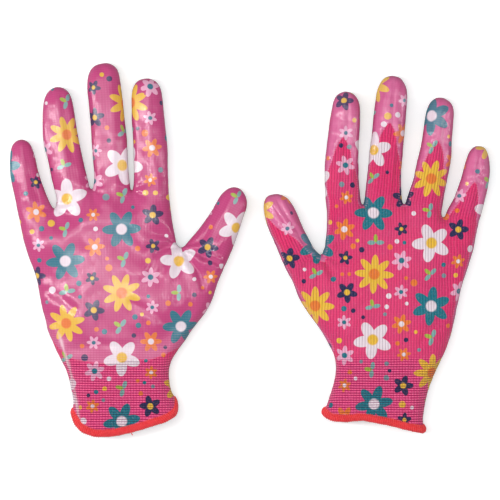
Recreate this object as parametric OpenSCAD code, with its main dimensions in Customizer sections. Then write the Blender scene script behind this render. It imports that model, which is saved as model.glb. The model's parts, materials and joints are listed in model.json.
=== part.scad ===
// Pair of knitted gardening gloves with a clear dipped coating.
// Both gloves lie flat on the XY plane, fingers along +Y, +Z up.
// Glove A lies palm side up at -X, glove B lies back side up at +X.
// Every glove is a set of soft sleeves: a hand part, a cuff, and two
// sleeves for each digit, with the coating as its own thin skin.

/* [Fabric] */
// Thickness of the knitted liner
wall = 0.9; // [0.6:0.1:1.4]
// Thickness of the dipped coating
coat = 0.35; // [0.2:0.05:0.6]
// Gap left between neighbouring solids
gap = 0.05; // [0.03:0.01:0.1]
// Height of the rim of every sleeve above the table
rim_z = 7; // [6.6:0.1:8]
// Half height of a digit sleeve
digit_h = 6.3; // [5.5:0.1:6.3]
// Half height of the hand at its edges, above the rim
hand_h = 6.6; // [6:0.1:8]
// Extra height in the middle of the hand
hand_crown = 2.6; // [0:0.2:5]

/* [Digit lengths] */
// Free length of the thumb
thumb_len = 50; // [42:1:58]
// Free length of the index finger
index_len = 72; // [62:1:82]
// Free length of the middle finger
middle_len = 81; // [70:1:92]
// Free length of the ring finger
ring_len = 70.5; // [60:0.5:80]
// Free length of the little finger
little_len = 50; // [42:1:58]
// Where the second fold of a finger lies, as a share of its length
fold_share = 0.42; // [0.36:0.01:0.5]

/* [Digit widths] */
// Half width of the fingers at the crotch
finger_base_r = 11.2; // [9.5:0.1:11.4]
// Half width of the middle finger near its tip
finger_tip_r = 9.9; // [8.5:0.1:10.5]
// Half width of the little finger near its tip
little_tip_r = 7.4; // [6.5:0.1:8.5]
// Half width of the thumb near its tip
thumb_tip_r = 8.4; // [7.5:0.1:9.5]

/* [Folds] */
// Farthest fold towards the palm at the finger base
flex_deg = 80; // [45:1:80]
// Farthest fold towards the back
extend_deg = 20; // [5:1:20]
// Farthest fold of the cuff, each way
wrist_deg = 40; // [10:1:40]
// Distance of the first fold above the crotch
base_fold = 2; // [1.5:0.5:4]

/* [Cuff] */
// Radius of the overlocked hem
hem_r = 1.5; // [1.2:0.1:1.8]
// Number of elastic yarns shown in the cuff
elastic_count = 4; // [2:1:5]
// Radius of an elastic yarn
elastic_r = 0.35; // [0.25:0.05:0.45]

/* [Hidden] */
$fn = 32;

// Tables by glove have glove A first, then glove B. Tables by digit follow DIGITS.
DIGITS = ["thumb", "index", "middle", "ring", "little"];
LENGTHS = [thumb_len, index_len, middle_len, ring_len, little_len];
TIP_R = [thumb_tip_r, finger_tip_r * 0.94, finger_tip_r, finger_tip_r * 0.9, little_tip_r];
FOLD_ALONG = LENGTHS * fold_share;
// Base x, base y, lean at the base, lean at the tip, half width at the base.
// Lean is in degrees from +Y towards -X.
POSES = [
    [[-30.2, -6.0, -33, -20, 14.2],
     [-62.1, 35.6, 1.5, 4.5, finger_base_r],
     [-86.3, 36.2, 2.5, 6.5, finger_base_r],
     [-109.8, 33.2, 16, 0.5, finger_base_r],
     [-133.0, 20.6, 20, 2, finger_base_r * 0.95]],
    [[34.7, -9.1, 36, 12, 11.4],
     [59.2, 29.3, 4, -6, finger_base_r],
     [84.3, 29.0, -3, -6.5, finger_base_r],
     [109.1, 26.8, -17, -3, finger_base_r],
     [132.9, 18.1, -25, -2, finger_base_r * 0.95]]];
PALM_SIGN = [1, -1];          // +1 where the palm faces up
FINGER_FOLD_LEAN = [5, -5];   // the four fingers share one fold direction

wrist_y = -73;
// Wrist left x, wrist right x, control point of the left edge, of the right edge.
HANDS = [
    [-116.9, -50.7, [-134.8, -25.2], [-24.3, -38.4]],
    [54.2, 119.4, [39.0, -38.0], [134.5, -25.2]]];
// Hem left end, hem right end, sag of the upper layer, sag of the lower layer.
HEMS = [
    [[-109.3, -107.0], [-45.7, -98.5], 8.5, 3],
    [[46.3, -103.0], [109.9, -111.5], 0.8, 0.2]];

PINK = [0.93, 0.16, 0.47];
ROSE = [0.86, 0.37, 0.62];
RED = [0.90, 0.16, 0.16];

// ---- helpers ----
function mix(start, end, share) = start * (1 - share) + end * share;
function bezier(start, control, end, share) =
    start * pow(1 - share, 2) + control * 2 * share * (1 - share) + end * pow(share, 2);
// Height profile across a flat sleeve: 0 at both edges, 1 in the middle.
function dome(across, power) = sqrt(max(0, 1 - pow(abs(2 * across - 1), power)));
// Moves a share across a sleeve outwards by grow, for a sleeve about width wide.
function widen(across, grow, width) = across + grow / width * (2 * across - 1);
function flatten(rows) = [for (row = rows) each row];

// ---- closed meshes ----
// Two triangles that meet along the diagonal a to c.
function quad(a, b, c, d) = [[a, b, c], [a, c, d]];

// A skin with a thickness, from rows of points for its outer and inner faces.
// Looped rows make a tube, other rows a sheet. Tips, one for the outer face
// and one for the inner, close a tube beyond its last row.
module shell(outer, inner, looped = true, tips = []) {
    rows = len(outer);
    cols = len(outer[0]);
    last = (rows - 1) * cols;
    tip = rows * cols;
    capped = len(tips) > 0;
    in = tip + (capped ? 1 : 0);   // index of the first inner point
    points = concat(
        flatten(outer), capped ? [tips[0]] : [],
        flatten(inner), capped ? [tips[1]] : []);
    skins = [for (k = [0:rows - 2]) for (i = [0:cols - (looped ? 1 : 2)])
        let(j = (i + 1) % cols, row = k * cols, next = row + cols)
        each concat(
            quad(row + i, next + i, next + j, row + j),
            quad(in + row + i, in + row + j, in + next + j, in + next + i))];
    ends = [for (i = [0:cols - (looped ? 1 : 2)])
        let(j = (i + 1) % cols)
        each concat(
            quad(i, j, in + j, in + i),
            capped
                ? [[last + i, tip, last + j], [in + last + i, in + last + j, in + tip]]
                : quad(last + i, in + last + i, in + last + j, last + j))];
    sides = looped ? [] : [for (k = [0:rows - 2])
        let(left = k * cols, right = left + cols - 1)
        each concat(
            quad(left, in + left, in + left + cols, left + cols),
            quad(right, right + cols, in + right + cols, in + right))];
    polyhedron(points, concat(skins, ends, sides), convexity = 6);
}

// A closed cord swept along a loop of points; its section has the given number of sides.
module cord(path, radius, sides) {
    count = len(path);
    points = [for (i = [0:count - 1])
        let(along = path[(i + 1) % count] - path[(i + count - 1) % count],
            outward = cross(along, [0, 1, 0]) / norm([along.x, along.z]))
        for (k = [0:sides - 1])
            let(angle = 360 * k / sides)
            path[i] + [0, radius * cos(angle), 0] + outward * radius * sin(angle)];
    faces = [for (i = [0:count - 1]) for (k = [0:sides - 1])
        let(ring = i * sides, next = ((i + 1) % count) * sides, l = (k + 1) % sides)
        each quad(ring + k, ring + l, next + l, next + k)];
    polyhedron(points, faces, convexity = 4);
}

// ---- centreline of a digit: an arc whose lean runs from one value to another ----
// "along" is the distance from the base of the digit.
function base_xy(glove, digit) = [POSES[glove][digit][0], POSES[glove][digit][1]];
function base_lean(glove, digit) = POSES[glove][digit][2];
function lean_change(glove, digit) = POSES[glove][digit][3] - base_lean(glove, digit);
function base_r(glove, digit) = POSES[glove][digit][4];

function lean(glove, digit, along) =
    base_lean(glove, digit) + lean_change(glove, digit) * along / LENGTHS[digit];
function side(glove, digit, along) =
    let(angle = lean(glove, digit, along)) [cos(angle), sin(angle)];
function ahead(glove, digit, along) =
    let(angle = lean(glove, digit, along)) [-sin(angle), cos(angle)];
function centre(glove, digit, along) =
    let(curvature = lean_change(glove, digit) / LENGTHS[digit] * PI / 180)
    base_xy(glove, digit) + (side(glove, digit, along) - side(glove, digit, 0)) / curvature;

// ---- skin of a digit, with a round tip ----
function tip_start(digit) = LENGTHS[digit] - TIP_R[digit];
function round_off(digit, along) = along <= tip_start(digit) ? 1
    : sqrt(max(0, 1 - pow((along - tip_start(digit)) / TIP_R[digit], 2)));
function half_width(glove, digit, along) =
    mix(TIP_R[digit], base_r(glove, digit), pow(max(0, 1 - along / LENGTHS[digit]), 2))
    * round_off(digit, along);
function half_height(digit, along) = digit_h * pow(round_off(digit, along), 0.8);

// The skin at an angle round the digit, from its +side. "grow" moves it out.
function skin_xy(glove, digit, along, angle, grow) = centre(glove, digit, along)
    + side(glove, digit, along) * (half_width(glove, digit, along) + grow) * cos(angle);
function skin_z(digit, along, angle, grow) =
    rim_z + (half_height(digit, along) + grow) * sin(angle);
function skin(glove, digit, along, angle, grow) =
    [each skin_xy(glove, digit, along, angle, grow), skin_z(digit, along, angle, grow)];

// ---- folds ----
fold_gap = gap * 4;    // half opening of a fold at the rim height
fold_slack = 1.5;      // degrees added to each side of a fold

// The thumb folds straight across itself.
function fold_normal(glove, digit, along) =
    let(angle = digit == 0 ? lean(glove, digit, along) : FINGER_FOLD_LEAN[glove])
    [-sin(angle), cos(angle)];
// Half opening of a fold at height z: wide on the palm side, narrow on the back.
function fold_cut(glove, z) = let(palmward = (z - rim_z) * PALM_SIGN[glove])
    fold_gap + abs(palmward) * tan((palmward > 0 ? flex_deg : extend_deg) / 2 + fold_slack);
function wrist_cut(z) = fold_gap + abs(z - rim_z) * tan(wrist_deg / 2 + fold_slack);
// Where the line of skin at an angle meets the wall of a fold: way 1 beyond it, -1 before it.
function fold_at(glove, digit, along, angle, grow, way) =
    let(normal = fold_normal(glove, digit, along),
        offset = skin_xy(glove, digit, along, angle, grow) - centre(glove, digit, along),
        cut = fold_cut(glove, skin_z(digit, along, angle, grow)))
    along + (way * cut - normal * offset) / (normal * ahead(glove, digit, along));

// ---- digit sleeves ----
digit_points = 14;     // points round a digit sleeve
ALL_ROUND = [for (i = [0:digit_points - 1]) 360 * i / digit_points];
// The coating of the lower sleeve reaches round the palm side and both flanks.
coat_arc = 230;
coat_steps = 9;
function coat_angles(glove) = [for (i = [0:coat_steps])
    90 * PALM_SIGN[glove] - coat_arc / 2 + coat_arc * i / coat_steps];
TIP_ANGLES = [22, 44, 62, 76];   // latitudes of the rings on the round tip
// Thickening at the very tip
liner_tip_factor = 1.4;
coat_tip_factor = 1.5;

// Rings from the first fold to the second.
function base_rings(glove, digit, grow, angles = ALL_ROUND) = [for (k = [0:3])
    [for (angle = angles)
        let(start = fold_at(glove, digit, base_fold, angle, grow, 1),
            end = fold_at(glove, digit, FOLD_ALONG[digit], angle, grow, -1))
        skin(glove, digit, mix(start, end, k / 3), angle, grow)]];
// Rings from the second fold to the start of the tip, then over the tip.
function tip_rings(glove, digit, grow) = concat(
    [for (k = [0:2]) [for (angle = ALL_ROUND)
        let(start = fold_at(glove, digit, FOLD_ALONG[digit], angle, grow, 1))
        skin(glove, digit, mix(start, tip_start(digit), k / 2), angle, grow)]],
    [for (latitude = TIP_ANGLES)
        let(along = tip_start(digit) + TIP_R[digit] * sin(latitude),
            push = [each ahead(glove, digit, along) * grow, 0])
        [for (angle = ALL_ROUND) skin(glove, digit, along, angle, grow) + push]]);
function apex(glove, digit, push) = let(end = LENGTHS[digit])
    [each centre(glove, digit, end) + ahead(glove, digit, end) * push, rim_z];

module tip_shell(glove, digit, outer, inner, tip_factor)
    shell(tip_rings(glove, digit, outer), tip_rings(glove, digit, inner),
        tips = [for (grow = [outer, inner]) apex(glove, digit, grow * tip_factor)]);

module base_sleeve(glove, digit)
    shell(base_rings(glove, digit, 0), base_rings(glove, digit, -wall));
module tip_sleeve(glove, digit)
    tip_shell(glove, digit, 0, -wall, liner_tip_factor);
module base_coating(glove, digit)
    shell(base_rings(glove, digit, gap + coat, coat_angles(glove)),
        base_rings(glove, digit, gap, coat_angles(glove)), looped = false);
module tip_coating(glove, digit)
    tip_shell(glove, digit, gap + coat, gap, coat_tip_factor);

// ---- hand: a patch between the wrist line and the line of digit bases ----
// Digits from -X to +X, the web point of the thumb, and the digit it follows.
ORDER = [[4, 3, 2, 1, 0], [0, 1, 2, 3, 4]];
WEB = [[-47.8, 14.4], [47.9, 5.8]];
WEB_AFTER = [1, 0];
BASE_SHARES = [-0.96, -0.45, 0.05, 0.5, 0.96];   // points across each digit base
HAND_ROWS = [0, 0.2, 0.4, 0.6, 0.8, 1];          // 0 at the wrist, 1 at the digits
PALM_ROWS = [0.2, 0.4, 0.6, 0.8, 1];             // the coating starts above the wrist
hand_width = 90;       // nominal, scales the wall at the edges
floor_dip = 1.2;       // the lower side would reach this far below its flat floor

function base_point(glove, digit, share) =
    let(middle = centre(glove, digit, base_fold),
        offset = side(glove, digit, base_fold) * share * base_r(glove, digit),
        forward = ahead(glove, digit, base_fold),
        normal = fold_normal(glove, digit, base_fold))
    middle + offset - forward * (normal * offset) / (normal * forward);
// Distance of each point along a line of points.
function run(points) = [
    for (i = 0, total = 0; i < len(points);
        total = total + (i + 1 < len(points) ? norm(points[i + 1] - points[i]) : 0), i = i + 1)
    total];

// By glove: points of the digit end, each with the direction it is cut back along.
END_DATA = [for (glove = [0, 1]) [for (digit = ORDER[glove]) each concat(
    [for (share = BASE_SHARES)
        [base_point(glove, digit, share), fold_normal(glove, digit, base_fold)]],
    digit == WEB_AFTER[glove] ? [[WEB[glove], [0, 1]]] : [])]];
END_POINTS = [for (data = END_DATA) [for (entry = data) entry[0]]];
// The share across the hand of each point.
END_ACROSS = [for (points = END_POINTS) let(distances = run(points))
    distances / distances[len(distances) - 1]];
end_last = len(END_POINTS[0]) - 1;

// Shift of a side edge from its straight line.
function edge_bow(start, control, end, up) =
    bezier(start, control, end, up) - mix(start, end, up);
// Plan point on the line to end point i, at a share across and a share up from the wrist.
function hand_xy(glove, across, i, up) =
    let(outline = HANDS[glove],
        ends = END_POINTS[glove],
        left = [outline[0], wrist_y],
        right = [outline[1], wrist_y])
    mix(mix(left, right, across), ends[i], up)
    + mix(edge_bow(left, outline[2], ends[0], up),
        edge_bow(right, outline[3], ends[end_last], up), across);
function hand_top_z(across, up, grow) =
    rim_z + (hand_h + hand_crown * sin(180 * up) + grow) * dome(across, 4);
// Glove B is lifted to leave room for the coating under it.
function hand_bottom_z(glove, across, grow) =
    let(floor_z = (glove == 0 ? 0 : coat + gap * 2) - grow)
    max(floor_z, rim_z - (rim_z + floor_dip - floor_z) * dome(across, 4));
function hand_point(glove, i, up, grow, upper) =
    let(across = END_ACROSS[glove][i],
        xy = hand_xy(glove, widen(across, grow, hand_width), i, up),
        z = upper ? hand_top_z(across, up, grow) : hand_bottom_z(glove, across, grow),
        cut = up == 0 ? [0, wrist_cut(z)]
            : up == 1 ? END_DATA[glove][i][1] * -fold_cut(glove, z)
            : [0, 0])
    [each xy + cut, z];

// Loops of points: over the upper side from left to right, then back under it.
function hand_rings(glove, grow) = [for (up = HAND_ROWS) concat(
    [for (i = [0:end_last]) hand_point(glove, i, up, grow, true)],
    [for (i = [end_last - 1:-1:1]) hand_point(glove, i, up, grow, false)])];
// Rows of points across the palm side only.
function palm_rows(glove, grow) = [for (up = PALM_ROWS) [for (i = [0:end_last])
    glove == 0
        ? hand_point(glove, i, up, grow, true)
        : hand_point(glove, end_last - i, up, grow, false)]];

module hand_liner(glove)
    shell(hand_rings(glove, 0), hand_rings(glove, -wall));
module palm_coating(glove)
    shell(palm_rows(glove, gap * 2 + coat), palm_rows(glove, gap * 2), looped = false);

// ---- cuff: elastic rib from the wrist line to the hem ----
// "down" is the share from the wrist to the hem.
CUFF_ROWS = [1, 0.66, 0.33, 0];
cuff_steps = 16;       // steps across each layer of the cuff
cuff_width = 66;       // nominal, scales the wall at the edges
cuff_end_h = 5.6;      // half height at the hem
cuff_waist = 2.5;      // how far each edge draws in halfway down
sag_scale = 27 / 4;    // makes the highest value of across * (1 - across)^2 equal 1

function hem_xy(glove, across) = mix(HEMS[glove][0], HEMS[glove][1], across);
function cuff_xy(glove, across, down, upper) =
    let(outline = HANDS[glove],
        wrist = [mix(outline[0], outline[1], across), wrist_y],
        sag = HEMS[glove][upper ? 2 : 3]
            * sag_scale * across * pow(1 - across, 2) * pow(down, 2),
        waist = cuff_waist * sin(180 * down) * (1 - 2 * across))
    mix(wrist, hem_xy(glove, across), down) + [waist, -sag];
function cuff_point(glove, i, down, grow, upper) =
    let(across = (1 - cos(180 * i / cuff_steps)) / 2,
        height = (mix(hand_h, cuff_end_h, down) + grow) * dome(across, 6),
        z = rim_z + height * (upper ? 1 : -1),
        xy = cuff_xy(glove, widen(across, grow, cuff_width), down, upper))
    [xy.x, xy.y - (down == 0 ? wrist_cut(z) : 0), z];
function cuff_ring(glove, down, grow) = concat(
    [for (i = [0:cuff_steps]) cuff_point(glove, i, down, grow, true)],
    [for (i = [cuff_steps - 1:-1:1]) cuff_point(glove, i, down, grow, false)]);

module cuff_liner(glove)
    shell([for (down = CUFF_ROWS) cuff_ring(glove, down, 0)],
        [for (down = CUFF_ROWS) cuff_ring(glove, down, -wall)]);
module cuff_elastic(glove)
    for (k = [1:elastic_count])
        cord(cuff_ring(glove, 0.15 + 0.8 * k / (elastic_count + 1),
            -wall - elastic_r * 2.5 - gap), elastic_r, 4);
module hem_binding(glove)
    cord([for (point = cuff_ring(glove, 1, -wall / 2)) point - [0, hem_r + gap * 2, 0]],
        hem_r, 8);

// Loose thread end below the hem: share across the hem, share of the
// upper layer's sag, height above the rim.
THREADS = [[0.5, 0.84, 5.0], [0.9, 0.06, 3.2]];
module hem_thread(glove) {
    thread = THREADS[glove];
    xy = hem_xy(glove, thread[0]);
    start = [
        xy.x,
        xy.y - HEMS[glove][2] * thread[1] - 2 * hem_r - 0.6,
        rim_z + thread[2]];
    hull() {
        translate(start) cube(0.7, center = true);
        translate(start + [3, -1.2, -1]) cube(0.6, center = true);
    }
}

// ---- nodes ----
HAND_PARTS = ["hand_liner", "palm_coating", "cuff_liner",
    "cuff_elastic", "hem_binding", "hem_thread"];
DIGIT_PARTS = ["base_sleeve", "tip_sleeve", "base_coating", "tip_coating"];
PREFIXES = ["glove_a_", "glove_b_"];

// Puts the middle of the pair over the origin.
pair_shift = [-0.97, -0.79, 0];
module part(name, colour)
    color(colour) translate(pair_shift) children();

for (glove = [0, 1]) {
    prefix = PREFIXES[glove];
    part(str(prefix, "hand_liner"), PINK) hand_liner(glove);
    part(str(prefix, "palm_coating"), ROSE) palm_coating(glove);
    part(str(prefix, "cuff_liner"), PINK) cuff_liner(glove);
    part(str(prefix, "cuff_elastic"), "white") cuff_elastic(glove);
    part(str(prefix, "hem_binding"), RED) hem_binding(glove);
    part(str(prefix, "hem_thread"), RED) hem_thread(glove);
    for (digit = [0:4]) {
        name = str(prefix, DIGITS[digit], "_");
        part(str(name, "base_sleeve"), PINK) base_sleeve(glove, digit);
        part(str(name, "tip_sleeve"), PINK) tip_sleeve(glove, digit);
        part(str(name, "base_coating"), ROSE) base_coating(glove, digit);
        part(str(name, "tip_coating"), ROSE) tip_coating(glove, digit);
    }
}
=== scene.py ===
"""Pair of dipped garden gloves lying flat side by side, fingers towards +Y.

Glove a shows its palm, glove b its back. Each glove is one smooth closed skin over a flat pattern
outline. The skin is puckered and relaxed, cut along the folds, the hem and the edge of the dip,
and every piece becomes a thin closed shell. Building code is in millimetres, with x and y from
the glove's own wrist fold and z from world zero; objects are in metres.
"""
import json
import math
from types import SimpleNamespace

import bpy
import numpy as np
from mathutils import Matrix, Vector
from mathutils.kdtree import KDTree

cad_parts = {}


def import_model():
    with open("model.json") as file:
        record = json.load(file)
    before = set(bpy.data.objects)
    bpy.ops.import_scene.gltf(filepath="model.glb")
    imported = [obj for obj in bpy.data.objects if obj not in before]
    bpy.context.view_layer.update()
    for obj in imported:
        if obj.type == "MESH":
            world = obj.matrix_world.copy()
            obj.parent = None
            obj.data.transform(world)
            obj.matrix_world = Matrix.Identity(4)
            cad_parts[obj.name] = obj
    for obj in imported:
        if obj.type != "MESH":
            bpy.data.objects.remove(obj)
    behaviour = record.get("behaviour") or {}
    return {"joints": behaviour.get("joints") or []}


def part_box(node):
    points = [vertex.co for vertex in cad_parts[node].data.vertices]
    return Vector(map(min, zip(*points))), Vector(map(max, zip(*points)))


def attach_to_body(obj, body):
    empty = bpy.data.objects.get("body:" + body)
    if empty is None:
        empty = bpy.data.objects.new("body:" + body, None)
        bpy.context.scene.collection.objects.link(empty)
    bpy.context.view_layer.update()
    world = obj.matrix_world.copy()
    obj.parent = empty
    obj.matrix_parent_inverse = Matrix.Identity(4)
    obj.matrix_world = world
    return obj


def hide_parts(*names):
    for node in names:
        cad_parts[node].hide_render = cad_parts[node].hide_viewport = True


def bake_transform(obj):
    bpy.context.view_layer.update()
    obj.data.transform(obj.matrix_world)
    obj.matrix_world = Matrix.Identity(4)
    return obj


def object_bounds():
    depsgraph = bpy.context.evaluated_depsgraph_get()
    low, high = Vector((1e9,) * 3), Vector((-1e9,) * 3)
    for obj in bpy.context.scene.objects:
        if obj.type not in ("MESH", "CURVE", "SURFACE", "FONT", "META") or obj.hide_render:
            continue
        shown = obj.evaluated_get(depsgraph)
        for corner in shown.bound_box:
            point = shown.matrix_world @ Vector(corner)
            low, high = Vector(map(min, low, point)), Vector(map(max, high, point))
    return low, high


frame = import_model()
cad_low, cad_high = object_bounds()
SCENE = bpy.context.scene
JOINTS = {joint["name"]: joint for joint in frame["joints"]}
DIGITS = ["thumb", "index", "middle", "ring", "little"]

CELL = 1.15             # spacing of the skin's vertices
OUTLINE_STEP = 0.6      # spacing of the resampled outline
FIELD_STEP = 0.75       # grid of the flat maps
EDGE_WIDTH = 11.6       # how far the rounding reaches in from the edge of a finger
EDGE_RISE = 7.0         # rise of the upper face above the edge
LOWEST = 0.12           # lowest height of the skin
WALL = 0.9              # knitted liner
FILM = 0.36             # dipped film
FILM_EDGE = 0.07        # film where it starts
FILM_SINK = 0.02        # gap under the film
CUFF_CUT = 8.0          # height of the cut between hand and cuff
LENGTH_RATIO = 1.035    # stretch along y between the two gloves' patterns
LARGE_MOTIF = 6.4       # smallest radius of a motif in the first print layer
HEM_SHIFT = np.array([0, 1.0, 0])
NOISE_SEED = 11

# ---------------------------------------------------------------- pattern pieces
# Flat outlines (x, y), from the cuff on the -X side, over the finger tips, to the cuff on +X.
OUTLINES = {"a": [
    (-28.3, -53), (-28.3, -40.4), (-28, -27.8), (-27.7, -21.5), (-29, -15.2), (-30.2, -8.9),
    (-32.1, -2.6), (-35.3, 3.7), (-38.4, 10), (-40.9, 16.3), (-43.5, 22.6), (-44.7, 28.9),
    (-46.6, 35.2), (-47.9, 41.5), (-49.1, 47.8), (-50.4, 54.1), (-52.3, 60.4), (-54.8, 66.7),
    (-56.7, 73), (-58.6, 79.3), (-59.8, 85.6), (-61.1, 91.9), (-62.4, 98.2), (-63.6, 104.5),
    (-65.2, 110.8), (-66.6, 117.1), (-67.3, 123.4), (-67.4, 129.7), (-66.8, 136), (-65.3, 139.8),
    (-63, 141.7), (-59.7, 142.4), (-56.4, 141), (-54.2, 137.9), (-52.9, 134.1), (-51.7, 129.7),
    (-50.4, 123.4), (-48.4, 117.1), (-46, 110.8), (-43.3, 104.5), (-41.3, 100.7), (-40.1, 98.7),
    (-39.1, 98.7), (-38.2, 101.4), (-38, 105.1), (-39.4, 110.8), (-40.9, 117.1), (-42.1, 123.4),
    (-43.1, 129.7), (-45, 136), (-46.2, 142.3), (-46.6, 148.6), (-46.6, 154.9), (-46.5, 161.2),
    (-45.7, 167.5), (-43.5, 172.2), (-40.3, 174.9), (-37, 175.7), (-33.4, 174.9), (-30.5, 172.2),
    (-28.7, 167.5), (-27.5, 161.2), (-26.6, 154.9), (-25.6, 148.6), (-24.6, 142.3), (-23.3, 136),
    (-21.9, 129.7), (-20.3, 123.4), (-18.6, 117.1), (-17.5, 112.7), (-16.6, 110.7), (-15.6, 110.7),
    (-14.7, 112.7), (-14.3, 117.1), (-14.5, 123.4), (-15, 129.7), (-15.4, 136), (-15.7, 142.3),
    (-15.9, 148.6), (-16.4, 154.9), (-17, 161.2), (-17.6, 167.5), (-18.3, 173.8), (-18.3, 180.1),
    (-17, 185.1), (-13.5, 188.9), (-7.9, 190.6), (-2.8, 189.2), (0.1, 186.1), (1.5, 180.1),
    (2.5, 173.8), (3.3, 167.5), (3.9, 161.2), (4.5, 154.9), (5.2, 148.6), (5.8, 142.3), (6.3, 136),
    (6.6, 129.7), (7.1, 123.4), (7.6, 117.1), (8.2, 112.1), (9, 109.8), (9.8, 109.8),
    (10.3, 112.7), (10.7, 117.1), (10.7, 123.4), (10.7, 129.7), (10.7, 136), (10.6, 142.3),
    (10.2, 148.6), (9.6, 154.9), (9.5, 161.2), (9.4, 167.5), (10, 173.8), (12.3, 178.5),
    (15.1, 180.2), (18.7, 180.7), (22.7, 179.9), (25.5, 177.6), (27.4, 173.8), (28.4, 167.5),
    (29, 161.2), (29.6, 154.9), (30.2, 148.6), (30.9, 142.3), (31.4, 136), (31.6, 129.7),
    (31.9, 123.4), (32.1, 117.1), (32.4, 110.8), (32.8, 104.5), (33.6, 98.2), (34.5, 91.9),
    (35.4, 85.6), (36.7, 79.3), (38.4, 75.5), (40.8, 74.1), (43.5, 76.2), (46.3, 79.3),
    (51.7, 85.6), (56.1, 91.9), (60.2, 98.2), (63.6, 104.5), (66.2, 108.3), (69.9, 111.4),
    (74, 112.4), (77.8, 111.1), (80.6, 107.7), (81.8, 102.6), (81, 97.6), (78.9, 91.9),
    (76.9, 85.6), (74.3, 79.3), (71.8, 73), (69.3, 66.7), (66.3, 60.4), (63.8, 54.1), (61.7, 47.8),
    (59.6, 41.5), (56.4, 35.2), (51.7, 28.9), (46.9, 22.6), (42.8, 16.3), (38.4, 10), (34.5, 3.7),
    (32.8, -2.6), (32.9, -8.9), (34, -15.2), (36.2, -19.6), (37.5, -27.8), (37.8, -40.4),
    (37.8, -53),
], "b": [
    (-41.4, -53), (-41.4, -40.4), (-40.8, -31), (-38.3, -24.7), (-36.4, -18.3), (-34.8, -13.3),
    (-33.3, -7.6), (-32.6, -2), (-33.1, 3.7), (-35.1, 10), (-38.3, 16.3), (-42.1, 22.6),
    (-46.5, 28.9), (-51.2, 35.2), (-55, 41.5), (-57.8, 47.8), (-60.3, 54.1), (-63.5, 60.4),
    (-66.6, 66.7), (-68.8, 73), (-71.7, 79.3), (-74.6, 85.6), (-76.7, 91.9), (-77.9, 98.2),
    (-77.4, 103.9), (-74.8, 107), (-70.7, 108), (-66.6, 107.3), (-63.2, 105.1), (-59.4, 99.5),
    (-55.9, 91.9), (-53.2, 85.6), (-49.9, 79.3), (-46.5, 73.9), (-44.3, 71.1), (-42.5, 69.5),
    (-40.8, 70.8), (-39.8, 74.3), (-38.9, 79.3), (-38.3, 85.6), (-38.2, 91.9), (-38.3, 98.2),
    (-38.9, 104.5), (-39.4, 110.8), (-39.6, 117.1), (-39.4, 123.4), (-38.9, 129.7), (-38.3, 136),
    (-37.7, 142.3), (-37, 148.6), (-36.3, 154.9), (-35.3, 161.2), (-33.9, 167.5), (-31, 171.3),
    (-26.5, 172.7), (-22.2, 171.5), (-19.4, 168.1), (-18.1, 163.1), (-17.9, 154.9), (-18.1, 148.6),
    (-18.5, 142.3), (-18.6, 136), (-18.7, 129.7), (-18.6, 123.4), (-18.5, 117.1), (-18.1, 110.8),
    (-17.4, 104.5), (-16.5, 101.5), (-15.7, 100.7), (-14.9, 101.5), (-14.4, 104.5), (-13.7, 110.8),
    (-13.1, 117.1), (-12.5, 123.4), (-11.8, 129.7), (-11.1, 136), (-10.1, 142.3), (-9.3, 148.6),
    (-8.7, 154.9), (-8.1, 161.2), (-7.3, 167.5), (-6.2, 173.8), (-4, 178.8), (-1.1, 181.4),
    (2.6, 182.5), (6.8, 181.7), (9.9, 178.5), (11.7, 173.8), (12.1, 167.5), (11.6, 161.2),
    (11, 154.9), (10.3, 148.6), (9.7, 142.3), (9.2, 136), (8.8, 129.7), (8.5, 123.4), (8.4, 117.1),
    (8.4, 110.8), (8.7, 105.1), (9.5, 101.9), (10.4, 101.1), (11.3, 102), (12.3, 105.1),
    (14, 110.8), (16.3, 117.1), (17.8, 123.4), (19.3, 129.7), (20.9, 136), (22.2, 142.3),
    (23, 148.6), (23.8, 154.9), (25, 161.2), (26.9, 165.6), (29.4, 167.9), (33.2, 168.8),
    (37.3, 167.5), (40.5, 164.3), (41.6, 159.9), (41.3, 154.9), (40.8, 148.6), (40.2, 142.3),
    (40, 136), (39.6, 129.7), (38.4, 123.4), (37.3, 117.1), (36, 110.8), (34.8, 104.5),
    (33.7, 98.8), (33.5, 95.7), (34.2, 93.3), (35.3, 92.8), (36.4, 93.9), (38.1, 98.2),
    (41.7, 104.5), (44.2, 110.8), (46.3, 117.1), (48, 123.4), (49.9, 129.7), (51.8, 134.4),
    (54.3, 137.3), (57.8, 138.1), (60.9, 136.9), (62.7, 133.5), (63.6, 127.8), (63.8, 122.1),
    (63.3, 116.5), (62.5, 110.8), (61.2, 104.5), (59.5, 98.2), (57.7, 91.9), (56.2, 85.6),
    (54.9, 79.3), (53.6, 73), (51.8, 66.7), (49.9, 60.4), (47.8, 54.1), (45.9, 47.8), (44.4, 41.5),
    (43, 35.2), (41.7, 28.9), (40.3, 22.6), (38.6, 16.3), (36.4, 10), (33.5, 3.7), (30.6, -2.6),
    (27.9, -8.9), (25.6, -15.2), (24, -21.5), (22.8, -27.8), (22.2, -34.1), (22.8, -40.4),
    (22.8, -53),
]}
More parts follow.
